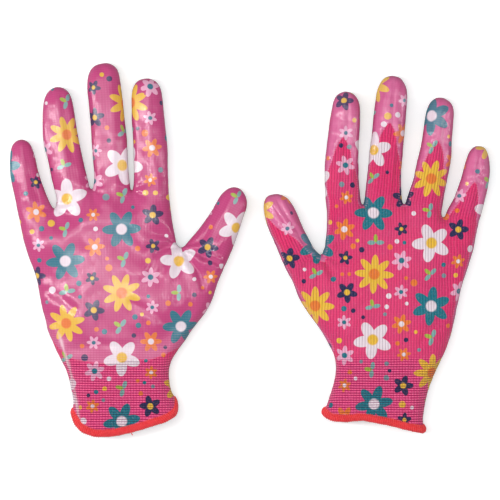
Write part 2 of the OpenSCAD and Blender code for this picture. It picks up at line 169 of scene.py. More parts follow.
# Centre line of each digit from the hand to the tip: x, y, half width.
CENTRE_LINES = {"a": {
    "thumb": [(50.4, 47.8, 16.4), (56.1, 68, 13.2), (66.2, 85, 11), (72.5, 98.2, 10.1),
              (75, 105.8, 6.3)],
    "index": [(22.1, 95.1, 11), (21.4, 110.8, 10.9), (21.2, 129.7, 10.5), (19.9, 148.6, 10.1),
              (18.9, 164.3, 9.8), (18.7, 173.8, 8.2)],
    "middle": [(-2.5, 95.1, 12), (-3.3, 114, 11.1), (-4.4, 129.7, 10.8), (-5.3, 148.6, 10.6),
               (-6.6, 164.3, 10.5), (-7.9, 180.1, 9.8)],
    "ring": [(-24.6, 90.6, 11.3), (-29.4, 110.8, 10.8), (-32.5, 129.7, 10.6),
             (-35.9, 148.6, 10.5), (-36.8, 161.2, 9.4), (-37, 167.5, 8.2)],
    "little": [(-47.2, 79.3, 10.7), (-53.5, 101.4, 10.1), (-57.3, 117.1, 9.1),
               (-59.4, 129.7, 7.9), (-59.7, 136, 6.6)],
}, "b": {
    "thumb": [(-47.1, 52.2, 15.1), (-54.7, 65.4, 12.6), (-61.6, 79.3, 11), (-67.9, 93.2, 10.3),
              (-70.7, 101.4, 6.9)],
    "index": [(-27, 88.8, 11.3), (-28.8, 110.8, 10.7), (-28.8, 129.7, 10.2), (-27.6, 148.6, 9.4),
              (-26.5, 162.5, 8.5)],
    "middle": [(-2.4, 88.8, 12), (-2.7, 110.8, 11), (-1.4, 129.7, 10.3), (0.6, 148.6, 9.8),
               (2.5, 167.5, 9.7), (2.6, 173.8, 8.5)],
    "ring": [(20.9, 88.8, 11.3), (25, 110.8, 11.1), (29.4, 129.7, 10.2), (32, 148.6, 9),
             (33.2, 159.9, 8.4)],
    "little": [(44.9, 79.3, 10.7), (50.7, 101.4, 10.1), (54.7, 117.1, 8.4), (56.7, 126.6, 7.3),
               (57.8, 132.2, 5.4)],
}}
# Lower edge of the dip across the palm (x, y).
DIP_EDGE = [(-60, 24), (-43.5, 19.5), (-35.9, 10), (-26.5, 3), (-4.4, 1.8), (20.8, 3.7),
            (42.8, 13.2), (60, 22)]
# Line across the thumb where the film closes round it (two x, y points).
THUMB_EDGE = {"a": ((71.2, 94.5), (43.5, 71.6)), "b": ((-74.2, 91.3), (-46.5, 69.2))}
# Hem line (x, y) on the upper and the under face.
HEM = {"a": {"top": [(-40, -27.5), (-30, -28.5), (-27.2, -31), (-26.1, -35.4), (-21.7, -40.4),
                     (-13.8, -43.2), (-2, -42.9), (6.6, -41), (17.6, -37.8), (30.2, -33.8),
                     (37.3, -29.8), (42, -26)],
             "under": [(-40, -27.5), (-30, -28.5), (-22, -31), (-8, -31), (10, -28.5),
                       (27, -24.5), (36, -21.5), (42, -20)]},
       "b": {"top": [(-55, -27), (-42, -28.2), (-36.4, -33), (-27, -33.8), (-16.2, -32.6),
                     (0, -35.8), (12, -38.8), (22.8, -41), (34, -41)],
             "under": [(-55, -27), (-42, -28), (-34, -31), (-16, -31.5), (2, -34.5),
                       (22.8, -39.6), (34, -41)]}}
# How far below each tip the bare tongue on the back of a finger starts.
TONGUE = {"index": 28.5, "middle": 29.5, "ring": 26.5, "little": 22.5}
# Folds in the upper face: path, depth, half width.
CREASES = {
    "a": [([(54.2, 68.6), (62, 65.5), (68.0, 61.7)], 0.8, 1.5),
          ([(43, 71), (51, 60), (54, 50)], 0.5, 1.8),
          ([(-44, 47), (-35.9, 43.5), (-26, 36)], 0.24, 2.8),
          ([(34, 78), (26, 70), (20, 58)], 0.55, 2.0), ([(38, 68), (36, 55), (38, 42)], 0.35, 2.4),
          ([(10, 40), (28, 30), (40, 24)], 0.28, 2.6), ([(-30, 10), (-12, 14), (8, 12)], 0.25, 2.6)],
    "b": [([(-42, 68), (-36, 58), (-34, 46)], 0.6, 1.8),
          ([(-44, 66), (-50, 56), (-54, 50)], 0.5, 1.6),
          ([(-30, 20), (-22, 34), (-10, 42)], 0.45, 2.2),
          ([(-38, 76), (-28, 74), (-16, 66)], 0.5, 2.0),
          ([(20, 14), (30, 28), (42, 36)], 0.4, 2.2), ([(-20, 4), (-4, 8), (12, 4)], 0.35, 2.0)],
}
# Bare strip down the folded edge of glove a's cuff (x, y).
BARE_STRIP = [(-42, 30), (-36, 20), (-33.0, 10), (-29.5, -2), (-26.6, -16), (-24.4, -30),
              (-22, -41)]


# ---------------------------------------------------------------- print: inks and layout
def srgb(*levels):
    """Linear colour from sRGB levels of 0 to 255."""
    shares = [level / 255.0 for level in levels]
    return tuple(s / 12.92 if s <= 0.04045 else ((s + 0.055) / 1.055) ** 2.4 for s in shares)


MAGENTA = srgb(230, 44, 108)
WHITE = srgb(240, 226, 234)
PALE = srgb(240, 176, 204)
YELLOW = srgb(240, 192, 62)
ORANGE = srgb(238, 128, 52)
TEAL = srgb(16, 122, 138)
GREEN = srgb(128, 178, 172)
NAVY = srgb(34, 42, 86)
GREY = srgb(124, 150, 158)
PINK = srgb(236, 124, 168)
LIME = srgb(168, 192, 66)
STRIP_PINK = srgb(240, 206, 214)
DOT_INKS = [WHITE, YELLOW, ORANGE, TEAL, NAVY, GREY, PINK]
# Petals, petal colour, centre colour.
FLOWERS = {"white_flower": (5, WHITE, YELLOW), "yellow_flower": (8, YELLOW, ORANGE),
           "teal_flower": (6, TEAL, WHITE), "orange_flower": (6, ORANGE, WHITE),
           "navy_flower": (5, NAVY, YELLOW), "pale_flower": (6, PALE, TEAL)}
KIND = {name: i + 1 for i, name in enumerate(["dot", "leaf"] + list(FLOWERS))}
COLUMN_PITCH, ROW_PITCH = 36.0, 40.0


def print_layout(seed, shift_x, shift_y):
    """Half-drop repeat of flowers, leaves and dots: x, y, radius, kind, dot ink, turn in degrees."""
    rng = np.random.default_rng(seed)
    large = ["white_flower", "teal_flower", "yellow_flower"]
    middle = ["orange_flower", "pale_flower", "navy_flower"]
    rows = []
    for i in range(-3, 4):
        for j in range(-3, 6):
            x = COLUMN_PITCH * i + shift_x
            y = ROW_PITCH * j + ROW_PITCH / 2 * (i % 2) + shift_y
            for step_x, step_y, radius, kind in (
                    (0, 0, 12.5, large[(i + 2 * j) % 3]), (18, 10, 6.8, middle[(i + j) % 3]),
                    (0, 20, 5.6, "leaf"), (18, 30, 4.6, middle[(2 * i + j + 1) % 3])):
                jitter_x, jitter_y = rng.uniform(-1.2, 1.2, 2)
                rows.append((x + step_x + jitter_x, y + step_y + jitter_y,
                             radius * rng.uniform(0.94, 1.06), kind, 0, rng.uniform(0, 90)))
    dots = 0
    for _ in range(2600):
        x, y = rng.uniform(-84, 84), rng.uniform(-46, 192)
        radius = rng.choice([1.3, 1.6, 1.9, 2.4])
        if dots < 150 and all(math.hypot(x - row[0], y - row[1]) > radius + row[2] + 1.2
                              for row in rows):
            rows.append((x, y, radius, "dot", int(rng.integers(0, 6)), 0))
            dots += 1
    return rows


PRINT_PALM = print_layout(11, 4, 6)
PRINT_BACK = print_layout(12, -9, 17)


# ---------------------------------------------------------------- numeric tools
def smooth(x, start=0.0, end=1.0):
    share = np.clip((np.asarray(x, float) - start) / (end - start), 0, 1)
    return share * share * (3 - 2 * share)


def bell(x, width):
    return np.exp(-(x / width) ** 2)


def wave(x, length, *phases):
    angle = x * 2 * np.pi / length
    for phase in phases:
        angle = angle + phase
    return np.sin(angle)


def lengths(vectors):
    return np.linalg.norm(vectors, axis=1)


def unit(vectors, least=0.0):
    return vectors / np.maximum(lengths(vectors), least)[:, None]


def mirror(x):
    """x of one glove's pattern on the other glove."""
    return -x - 3


def closed_curve(points, step):
    """A smooth closed curve through points, resampled evenly."""
    points = np.array(points, float)
    count = len(points)
    t = np.linspace(0, 1, 8, endpoint=False)[:, None]
    parts = []
    for i in range(count):
        a, b, c, d = points[i - 1], points[i], points[(i + 1) % count], points[(i + 2) % count]
        parts.append(0.5 * ((2 * b) + (c - a) * t + (2 * a - 5 * b + 4 * c - d) * t ** 2
                            + (3 * b - a - 3 * c + d) * t ** 3))
    curve = np.vstack(parts)
    run = np.concatenate([[0], np.cumsum(lengths(np.roll(curve, -1, 0) - curve))])
    at = np.linspace(0, run[-1], int(run[-1] / step), endpoint=False)
    curve = np.vstack([curve, curve[:1]])
    return np.stack([np.interp(at, run, curve[:, k]) for k in range(curve.shape[1])], 1)


def gauss(sigma):
    """Reach and weights of a Gaussian kernel."""
    reach = int(sigma * 3) + 1
    kernel = np.exp(-0.5 * (np.arange(-reach, reach + 1) / sigma) ** 2)
    return reach, kernel / kernel.sum()


def loop_blur(loop, sigma):
    reach, kernel = gauss(sigma)
    return sum(w * np.roll(loop, j, 0) for j, w in zip(range(-reach, reach + 1), kernel))


def grid_blur(grid, sigma):
    reach, kernel = gauss(sigma)
    for axis in (0, 1):
        wide = np.pad(grid, [(reach, reach) if k == axis else (0, 0) for k in (0, 1)], mode="edge")
        rows, columns = grid.shape
        grid = sum(w * (wide[j:j + rows, :] if axis == 0 else wide[:, j:j + columns])
                   for j, w in enumerate(kernel))
    return grid


def line_at(points, x):
    """A smoothed height at x through (x, y) points."""
    points = np.array(points, float)
    xs = np.linspace(points[0, 0], points[-1, 0], 400)
    ys = np.interp(xs, points[:, 0], points[:, 1])
    reach = max(3, int(2.2 / (xs[1] - xs[0])))
    kernel = np.hanning(2 * reach + 1)
    kernel /= kernel.sum()
    ys = np.convolve(np.pad(ys, reach, mode="edge"), kernel, mode="valid")
    return np.interp(x, xs, ys)


def to_segment(xy, start, end):
    """Distance of each point from a segment, and the share of the way along it."""
    edge = end - start
    share = np.clip(((xy - start) @ edge) / (edge @ edge), 0, 1)
    return lengths(xy - start - share[:, None] * edge), share


def line_distance(xy, line):
    line = np.array(line, float)
    best = np.full(len(xy), 1e9)
    for start, end in zip(line[:-1], line[1:]):
        best = np.minimum(best, to_segment(xy, start, end)[0])
    return best


class Noise:
    """Smooth seeded noise in three dimensions: a sum of plane waves."""

    def __init__(self, seed, scale, waves=26):
        random = np.random.RandomState(seed)
        direction = random.normal(size=(waves, 3))
        direction /= lengths(direction)[:, None]
        self.pitch = direction * (2 * np.pi / (scale * (0.7 + 0.9 * random.rand(waves))))[:, None]
        self.phase = random.rand(waves) * 2 * np.pi
        self.waves = waves

    def __call__(self, points):
        total = np.sin(points @ self.pitch.T + self.phase).sum(1)
        return total * math.sqrt(2.0 / self.waves)


# ---------------------------------------------------------------- triangle tools
def triangle_edges(tri):
    return np.vstack([tri[:, [0, 1]], tri[:, [1, 2]], tri[:, [2, 0]]])


def open_edges(tri):
    """Edges that only one triangle uses, and the number of that triangle."""
    edges = triangle_edges(tri)
    key = edges.min(1) * (int(tri.max()) + 1) + edges.max(1)
    _, first, count = np.unique(key, return_index=True, return_counts=True)
    alone = first[count == 1]
    return edges[alone], alone % len(tri)


def surface_nets(field, low, cell):
    """Points and quads of the surface field = 0 on a regular grid."""
    inside = field > 0
    nx, ny, nz = field.shape
    corners = [(i, j, k) for i in (0, 1) for j in (0, 1) for k in (0, 1)]
    count = sum(inside[i:nx - 1 + i, j:ny - 1 + j, k:nz - 1 + k].astype(np.int8)
                for i, j, k in corners)
    active = (count > 0) & (count < 8)
    index = np.full(active.shape, -1, np.int64)
    cells = np.argwhere(active)
    index[active] = np.arange(len(cells))
    total = np.zeros((len(cells), 3))
    hits = np.zeros(len(cells))
    for start in corners:
        for axis in range(3):
            if start[axis] == 1:
                continue
            end = list(start)
            end[axis] = 1
            at_start, at_end = (field[tuple((cells + np.array(corner)).T)]
                                for corner in (start, end))
            crossed = (at_start > 0) != (at_end > 0)
            point = np.tile(np.array(start, float), (crossed.sum(), 1))
            point[:, axis] = at_start[crossed] / (at_start[crossed] - at_end[crossed])
            total[crossed] += point
            hits[crossed] += 1
    points = low + (cells + total / hits[:, None]) * cell
    quads = []
    for axis in range(3):
        u, v = [(1, 2), (2, 0), (0, 1)][axis]
        before = [slice(1, -1)] * 3
        after = [slice(1, -1)] * 3
        before[axis], after[axis] = slice(0, -1), slice(1, None)
        a, b = inside[tuple(before)], inside[tuple(after)]
        for flip, mask in ((False, a & ~b), (True, ~a & b)):
            base = np.argwhere(mask)
            base[:, u] += 1
            base[:, v] += 1
            quad = []
            for du, dv in ((-1, -1), (0, -1), (0, 0), (-1, 0)):
                at = base.copy()
                at[:, u] += du
                at[:, v] += dv
                quad.append(index[at[:, 0], at[:, 1], at[:, 2]])
            quad = np.stack(quad, 1)
            quads.append(quad[:, ::-1] if flip else quad)
    quads = np.vstack(quads)
    return points, quads[(quads >= 0).all(1)]


def vertex_normals(points, tri):
    a, b, c = points[tri[:, 0]], points[tri[:, 1]], points[tri[:, 2]]
    face = np.cross(b - a, c - a)
    normals = np.zeros_like(points)
    for k in range(3):
        for axis in range(3):
            normals[:, axis] += np.bincount(tri[:, k], weights=face[:, axis],
                                            minlength=len(points))
    return unit(normals, 1e-12)


def cut(rows, tri, side, keep=None, snap=0.14):
    """Splits triangles along side = 0. rows holds the values of each vertex; only triangles in
    keep are split. Returns rows, triangles, source triangle and sign of each triangle."""
    side = np.where(np.abs(side) < snap, 0.0, side)
    at_corner = side[tri]
    cross = (at_corner.min(1) < 0) & (at_corner.max(1) > 0)
    if keep is not None:
        cross &= keep
    new, source = [tri[~cross]], [np.nonzero(~cross)[0]]
    if cross.any():
        old, old_side, old_index = tri[cross], at_corner[cross], np.nonzero(cross)[0]
        edges = np.sort(triangle_edges(old), 1)
        edges = np.unique(edges[side[edges[:, 0]] * side[edges[:, 1]] < 0], axis=0)
        a, b = edges.T
        share = (side[a] / (side[a] - side[b]))[:, None]
        base = len(rows)
        rows = np.vstack([rows, rows[a] * (1 - share) + rows[b] * share])
        side = np.concatenate([side, np.zeros(len(edges))])
        keys = a * base + b

        def middle(p, q):
            return base + np.searchsorted(keys, np.minimum(p, q) * base + np.maximum(p, q))

        zeros = (old_side == 0).sum(1)
        for r in range(3):
            order = [r, (r + 1) % 3, (r + 2) % 3]
            s0, s1, s2 = old_side[:, order].T
            # one vertex alone on its side
            mask = (zeros == 0) & (s0 * s1 < 0) & (s0 * s2 < 0)
            if mask.any():
                v0, v1, v2 = old[mask][:, order].T
                m1, m2 = middle(v0, v1), middle(v0, v2)
                new += [np.stack(corners, 1)
                        for corners in ((v0, m1, m2), (m1, v1, v2), (m1, v2, m2))]
                source += [old_index[mask]] * 3
            # one vertex on the cut
            mask = (zeros == 1) & (s0 == 0)
            if mask.any():
                v0, v1, v2 = old[mask][:, order].T
                m1 = middle(v1, v2)
                new += [np.stack(corners, 1) for corners in ((v0, v1, m1), (v0, m1, v2))]
                source += [old_index[mask]] * 2
    tri = np.vstack(new)
    return rows, tri, np.concatenate(source), np.sign(side[tri].sum(1))


def unpinched(tri):
    """True for triangles without a corner where the open edge passes twice."""
    starts = np.bincount(open_edges(tri)[0][:, 0], minlength=int(tri.max()) + 1)
    return ~(starts[tri] > 1).any(1)


def boundary_loop(tri, allowed):
    """Ordered loop of vertex numbers along the open edge of a patch, where allowed is true."""
    follow = {int(a): int(b) for a, b in open_edges(tri)[0] if allowed[a] and allowed[b]}
    start = next(iter(follow))
    loop, k = [start], follow[start]
    while k != start and k in follow and len(loop) < 100000:
        loop.append(k)
        k = follow[k]
    return np.array(loop)


# ---------------------------------------------------------------- one glove as a field
class Glove:
    """Flat maps of a glove with its folds, coating limits and wrinkles."""

    def __init__(self, key):
        self.key = key
        self.prefix = "glove_%s_" % key
        wrist = JOINTS[self.prefix + "wrist_fold"]["pos_m"]
        self.origin = np.array([wrist[0] * 1000, wrist[1] * 1000, 0.0])
        self.rim = wrist[2] * 1000
        self.palm_up = key == "a"
        self.outline = loop_blur(closed_curve(OUTLINES[key], OUTLINE_STEP), 2.0)
        after = np.roll(self.outline, -1, 0)
        tangent = unit(after - np.roll(self.outline, 1, 0))
        area = np.sum(self.outline[:, 0] * after[:, 1] - after[:, 0] * self.outline[:, 1])
        self.outward = np.stack([tangent[:, 1], -tangent[:, 0]], 1) * (1 if area > 0 else -1)
        table = {digit: np.array(rows) for digit, rows in CENTRE_LINES[key].items()}
        self.line = {digit: rows[:, :2] for digit, rows in table.items()}
        self.half = {digit: rows[:, 2] for digit, rows in table.items()}
        self.build_field()
        self.find_crotches()
        self.find_folds()
        self.noise = [Noise(NOISE_SEED, 34), Noise(NOISE_SEED + 1, 11),
                      Noise(NOISE_SEED + 2, 4.6, 30)]

    def nearest(self, xy):
        """Distance to the outline and the outward direction at its nearest place."""
        outline = self.outline.astype(np.float32)
        squared = (outline ** 2).sum(1)
        flat = np.asarray(xy, np.float32)
        index = np.empty(len(xy), int)
        for i in range(0, len(flat), 4000):
            gap = squared[None, :] - 2 * flat[i:i + 4000] @ outline.T
            index[i:i + 4000] = gap.argmin(1)
        distance = np.full(len(xy), np.inf)
        count = len(outline)
        for step in (0, -1):
            start = self.outline[(index + step) % count]
            edge = self.outline[(index + step + 1) % count] - start
            share = np.clip(((xy - start) * edge).sum(1) / (edge * edge).sum(1), 0, 1)
            distance = np.minimum(distance, lengths(xy - (start + edge * share[:, None])))
        return distance, self.outward[index]

    def build_field(self):
        """Grids of signed edge distance, roundness (0 at the edge, 1 inside) and upper rise."""
        low, high = self.outline.min(0) - 5, self.outline.max(0) + 5
        self.grid_low = low
        nx, ny = (np.ceil((high - low) / FIELD_STEP).astype(int) + 1)
        grid_x = low[0] + np.arange(nx) * FIELD_STEP
        grid_y = low[1] + np.arange(ny) * FIELD_STEP
        X, Y = np.meshgrid(grid_x, grid_y, indexing="ij")
        distance = self.nearest(np.stack([X.ravel(), Y.ravel()], 1))[0]
        inside = np.zeros((nx, ny), bool)
        a, b = self.outline, np.roll(self.outline, -1, 0)
        for j, y in enumerate(grid_y):
            hit = (a[:, 1] <= y) != (b[:, 1] <= y)
            share = (y - a[hit, 1]) / (b[hit, 1] - a[hit, 1])
            xs = a[hit, 0] + share * (b[hit, 0] - a[hit, 0])
            inside[:, j] = (np.sum(xs[None, :] > grid_x[:, None], 1) % 2) == 1
        distance = distance.reshape(nx, ny) * np.where(inside, 1, -1)
        deep = grid_blur(np.clip(distance, 0, 30), 7 / FIELD_STEP)
        palm = smooth(deep, 6.5, 21)
        cuff = 1 - smooth(Y, -6, 34)
        width = EDGE_WIDTH + 12 * palm * (1 - 0.45 * cuff)
        share = np.clip(distance / width, -0.6, 1)
        roundness = np.where(share > 0, 1 - (1 - share) ** 2, 2 * share)
        core = smooth(distance, 2.0, 6.0)
        roundness = (roundness * (1 - core)
                     + grid_blur(np.maximum(roundness, 0), 2.2 / FIELD_STEP) * core)
        swell = 0.35 * np.sin(X / 17.0 + 0.6) * np.cos(Y / 23.0)
        self.rise = EDGE_RISE + (2.3 + swell) * palm * (1 - cuff) - 0.2 * cuff
        self.depth = distance
        self.roundness = roundness

    def sample(self, grid, xy):
        place = (xy - self.grid_low) / FIELD_STEP
        cell = np.clip(np.floor(place).astype(int), 0, np.array(grid.shape) - 2)
        u, v = np.clip(place - cell, 0, 1).T
        a, b = cell.T
        return (grid[a, b] * (1 - u) * (1 - v) + grid[a + 1, b] * u * (1 - v)
                + grid[a, b + 1] * (1 - u) * v + grid[a + 1, b + 1] * u * v)

    def level(self, roundness, rise, height):
        """Above 0 inside the glove; height counts from the rim."""
        return roundness - np.where(height > 0, np.abs(height / rise) ** 2,
                                    (np.abs(height) / (self.rim - LOWEST)) ** 2.5)

    def field(self, points):
        xy = points[:, :2]
        return self.level(self.sample(self.roundness, xy), self.sample(self.rise, xy),
                          points[:, 2] - self.rim)

    def skin(self, cell):
        """Closed triangle skin of the glove by surface nets."""
        outline = self.outline
        low = np.array([outline[:, 0].min() - 2 * cell, outline[:, 1].min() - 2 * cell, -2 * cell])
        high = np.array([outline[:, 0].max() + 2 * cell, outline[:, 1].max() + 2 * cell,
                         self.rim + 12 + cell])
        low = low + np.array([0.31, 0.17, 0.05]) * cell
        count = np.ceil((high - low) / cell).astype(int) + 1
        x, y, z = [low[k] + np.arange(count[k]) * cell for k in range(3)]
        X, Y = np.meshgrid(x, y, indexing="ij")
        xy = np.stack([X.ravel(), Y.ravel()], 1)
        roundness, rise = (self.sample(grid, xy).reshape(count[0], count[1])[:, :, None]
                           for grid in (self.roundness, self.rise))
        level = self.level(roundness, rise, (z - self.rim)[None, None, :])
        points, quads = surface_nets(level, low, cell)
        for _ in range(3):                  # pull the points onto the surface
            slope = np.stack([(self.field(points + step) - self.field(points - step)) / 0.3
                              for step in np.eye(3) * 0.15], 1)
            square = (slope * slope).sum(1) + 1e-4
            move = -(self.field(points) / square)[:, None] * slope
            points = points + move * np.minimum(1, 0.5 / np.maximum(lengths(move), 1e-9))[:, None]
        first = lengths(points[quads[:, 0]] - points[quads[:, 2]])
        second = lengths(points[quads[:, 1]] - points[quads[:, 3]])
        a, b = quads[first < second], quads[~(first < second)]
        return points, np.vstack([a[:, [0, 1, 2]], a[:, [0, 2, 3]],
                                  b[:, [0, 1, 3]], b[:, [1, 2, 3]]])

    def find_crotches(self):
        """Finger tips, and the outline point between each pair of neighbouring digits."""
        outline, at = self.outline, {}
        self.tip = {}
        for digit in DIGITS:
            end = self.line[digit][-1]
            along = end - self.line[digit][-2]
            along = along / np.linalg.norm(along)
            near = np.nonzero(lengths(outline - end) < 14)[0]
            at[digit] = near[np.argmax((outline[near] - end) @ along)]
            self.tip[digit] = (outline[at[digit]], along)
        self.crotch = {}
        for pair in zip(DIGITS[:-1], DIGITS[1:]):
            between = np.arange(*sorted(at[digit] for digit in pair))
            self.crotch[pair] = outline[between[np.argmin(outline[between, 1])]]
        self.web = self.crotch["thumb", "index"]

    def hinge(self, digit, fold):
        """Place of a fold in the pattern and the direction across it towards the tip."""
        joint = JOINTS[self.prefix + digit + "_" + fold]
        axis = np.array(joint["axis"][:2])
        across = np.array([-axis[1], axis[0]])
        across *= 1 if across[1] > 0 else -1
        return (np.array(joint["pos_m"]) * 1000 - self.origin)[:2], across

    def find_folds(self):
        """Cut places and bending range of each digit's two folds."""
        self.folds = {}
        for digit in DIGITS:
            base, base_way = self.hinge(digit, "knuckle_fold")
            middle, middle_way = self.hinge(digit, "middle_fold")
            distance = float((middle - base) @ base_way)
            start = 0.0
            for pair, corner in self.crotch.items():
                if digit in pair:
                    start = max(start, float((corner - base) @ base_way) + 0.9)
            reach = min(8.0, 0.33 * distance)
            end = min(start + min(14.0, 0.55 * distance), distance - reach)
            self.folds[digit] = SimpleNamespace(
                base=base, base_way=base_way, start=start, end=end,
                middle=middle, middle_way=middle_way, reach=reach)
        way = self.folds["thumb"].base_way
        self.web_out = np.array([way[1], -way[0]]) * (1 if self.key == "a" else -1)

    def label(self, xy):
        """Number of the digit each point belongs to."""
        best = np.full(len(xy), 1e9)
        label = np.zeros(len(xy), int)
        for i, digit in enumerate(DIGITS):
            line, half = self.line[digit], self.half[digit]
            for k in range(len(line) - 1):
                distance, share = to_segment(xy, line[k], line[k + 1])
                distance = distance - (half[k] * (1 - share) + half[k + 1] * share)
                closer = distance < best
                best[closer], label[closer] = distance[closer], i
        wrong = (label == 0) & (best > 3.0) & (((xy - self.web) @ self.web_out) < 0)
        label[wrong] = 1
        return label

    def hem(self, points):
        """Distance above the hem line."""
        x, y, z = points.T
        upper = smooth(z, self.rim - 3.5, self.rim + 3.5)
        lines = HEM[self.key]
        return y - (line_at(lines["top"], x) * upper + line_at(lines["under"], x) * (1 - upper))

    def dip_reach(self, points):
        """How far inside the film each point lies: round the sides, and above the lower edge."""
        x, y, z = points.T
        xy = points[:, :2]
        depth = np.maximum(self.sample(self.depth, xy), 0)
        inward = np.where((z > self.rim) == self.palm_up, depth, -depth)
        label = self.label(xy)
        round_side = inward + 1.6 + 0.35 * np.sin(y / 5.1) + 0.25 * np.sin(y / 2.3 + 1)
        for i, digit in enumerate(DIGITS):
            mine = label == i
            fold = self.folds[digit]
            if digit == "thumb":
                mine &= ((xy - fold.base) @ fold.base_way) > -60
                start, end = (np.array(p) for p in THUMB_EDGE[self.key])
                along = (end - start) / np.linalg.norm(end - start)
                up = np.array([-along[1], along[0]])
                up *= 1 if up[1] > 0 else -1
                beyond = (xy - start) @ up + 0.8 * np.sin(((xy - start) @ along) / 4.0)
                past_web = (xy - self.web) @ fold.base_way
                outside = (xy - self.web) @ self.web_out + 2.0 + 0.6 * np.maximum(past_web, 0)
                limit = np.minimum(np.minimum(beyond, outside), past_web + 4.5)
                round_side = np.where(mine, np.maximum(round_side, limit), round_side)
            else:
                tip, along = self.tip[digit]
                below = (tip - xy) @ along
                half = np.interp(-y, -self.line[digit][::-1, 1], self.half[digit][::-1])
                tongue = TONGUE[digit]
                bare = np.clip((below - tongue) / 25.0, 0, 1) ** 0.55
                wrap = ((1 - bare) * half * 1.06 + 1.6 * bare
                        + 0.5 * np.clip(tongue - below, 0, 12))
                wrap = wrap + 0.3 * np.sin(below / 3.1) * smooth(below, tongue + 2, tongue + 8)
                round_side = np.where(mine & (below < tongue + 26), inward + wrap, round_side)
        edge_x = x if self.key == "a" else mirror(x)
        edge = line_at(DIP_EDGE, edge_x) + 0.7 * np.sin(x / 6.3)
        return round_side, y * (1.0 if self.key == "a" else LENGTH_RATIO) - edge

    def dip(self, points):
        """Above 0 where the film covers the glove; roughly the distance from its edge."""
        round_side, above = self.dip_reach(points)
        blend = 3.0
        share = np.clip(0.5 + 0.5 * (above - round_side) / blend, 0, 1)
        return above * (1 - share) + round_side * share - blend * share * (1 - share)

    def dip_cover(self, points):
        """Strength of the film, from 0 to 1."""
        round_side, above = self.dip_reach(points)
        return smooth(round_side, 0.0, 1.3) * (0.5 * smooth(above, -0.3, 1.5)
                                               + 0.5 * smooth(above, 1.0, 20.0))

    # ------------------------------------------------------------ wrinkles
    def add_finger_relief(self, height, xy, upper):
        label = self.label(xy)
        for i, digit in enumerate(DIGITS):
            mine = (label == i).astype(float)
            fold = self.folds[digit]
            way = fold.base_way
            along = (xy - fold.base) @ way
            across = (xy - fold.base) @ np.array([way[1], -way[0]])
            # puckers across the finger, strongest at the middle fold
            at_fold = bell(along - (fold.middle - fold.base) @ way, 9)
            size = smooth(along, -4, 10) * (0.05 + 0.10 * at_fold) * (0.12 if self.palm_up else 1.0)
            height += mine * size * wave(along, 6.4, 1.3 * np.sin(across / 4.0 + i),
                                         1.5 * np.sin(along / 13.0 + i))
            height += mine * size * 0.5 * wave(along, 3.7, 1.1 * np.sin(across / 3.0 + 2 * i))
            # two soft ridges along the finger with a hollow between them
            run = smooth(along, -14, 6) * mine
            centre = 1.1 * np.sin(along / 16.0 + 2.1 * i) - 0.6
            ridge = (bell(across - centre - 4.6, 1.9) + 0.9 * bell(across - centre + 4.8, 2.1))
            height += run * (0.42 * ridge - 0.30 * bell(across - centre, 2.6)
                             * (1 + 0.5 * np.sin(along / 7.0 + i)))
            if not self.palm_up:
                pull = run * smooth(along, 4, 16) * upper
                height += 0.30 * pull * wave(across, 4.6, 0.9 * np.sin(along / 11.0 + i), 1.7 * i)

    def add_crotch_relief(self, height, xy):
        """Folds fanning out from the thumb web and from between the fingers."""
        for pair, corner in self.crotch.items():
            size, reach, spokes = (1.0, 26, 9) if pair[0] == "thumb" else (0.45, 11, 7)
            offset = xy - corner
            radius = lengths(offset)
            angle = np.arctan2(offset[:, 1], offset[:, 0])
            fade = np.exp(-radius / reach) * smooth(radius, 0.5, 5)
            height += size * 1.1 * fade * np.sin(angle * spokes + 0.8 * np.sin(radius / 5) + 0.7)
            height -= size * 0.5 * bell(radius, 5)

    def relief(self, points):
        """How far the skin stands out (mm) from wrinkles, creases and puckers."""
        x, y, z = points.T
        xy = points[:, :2]
        body = smooth(self.sample(self.depth, xy), 0.5, 5)
        upper = smooth(z, self.rim - 4, self.rim + 2)
        broad, middle, fine = (noise(points) for noise in self.noise)
        height = 0.42 * broad + (0.08 if self.palm_up else 0.11) * middle + 0.015 * fine
        self.add_finger_relief(height, xy, upper)
        self.add_crotch_relief(height, xy)
        for line, depth, width in CREASES[self.key]:
            distance = line_distance(xy, line)
            height += upper * (1.5 * (-depth) * bell(distance, width)
                               + 0.75 * depth * bell(distance - 1.9 * width, 1.1 * width))
        # a small step along the edge of the film and puckers beside it
        film = np.minimum(*self.dip_reach(points))
        step = smooth(film, -0.8, 0.8) * (1 - smooth(film, 2, 7))
        pucker = bell(film, 3.2) * np.sin(y * 1.15 + 1.4 * np.sin(x / 3.0))
        height += 0.22 * step + 0.16 * pucker * (1 - smooth(-y, -30, -14))
        # rows and ribs of the knitted cuff
        cuff = smooth(-y, -10, 4)
        height += cuff * (0.16 * wave(y, 5.2) + 0.10 * wave(x, 4.4, 0.8 * np.sin(y / 7)))
        off_floor = smooth(z, 0.6, 3.5)
        return height * (0.25 + 0.75 * body) * (0.15 + 0.85 * off_floor)


# ---------------------------------------------------------------- print and knit coordinates
def arc_extra():
    """Extra length round the glove's edge, against distance from the edge."""
    angle = np.linspace(0, np.pi / 2, 300)
    x, z = EDGE_WIDTH * (1 - np.cos(angle)), EDGE_RISE * np.sin(angle)
    run = np.concatenate([[0], np.cumsum(np.hypot(np.diff(x), np.diff(z)))])
    return x, (run[-1] - run) - (EDGE_WIDTH - x)


ARC_X, ARC_EXTRA = arc_extra()


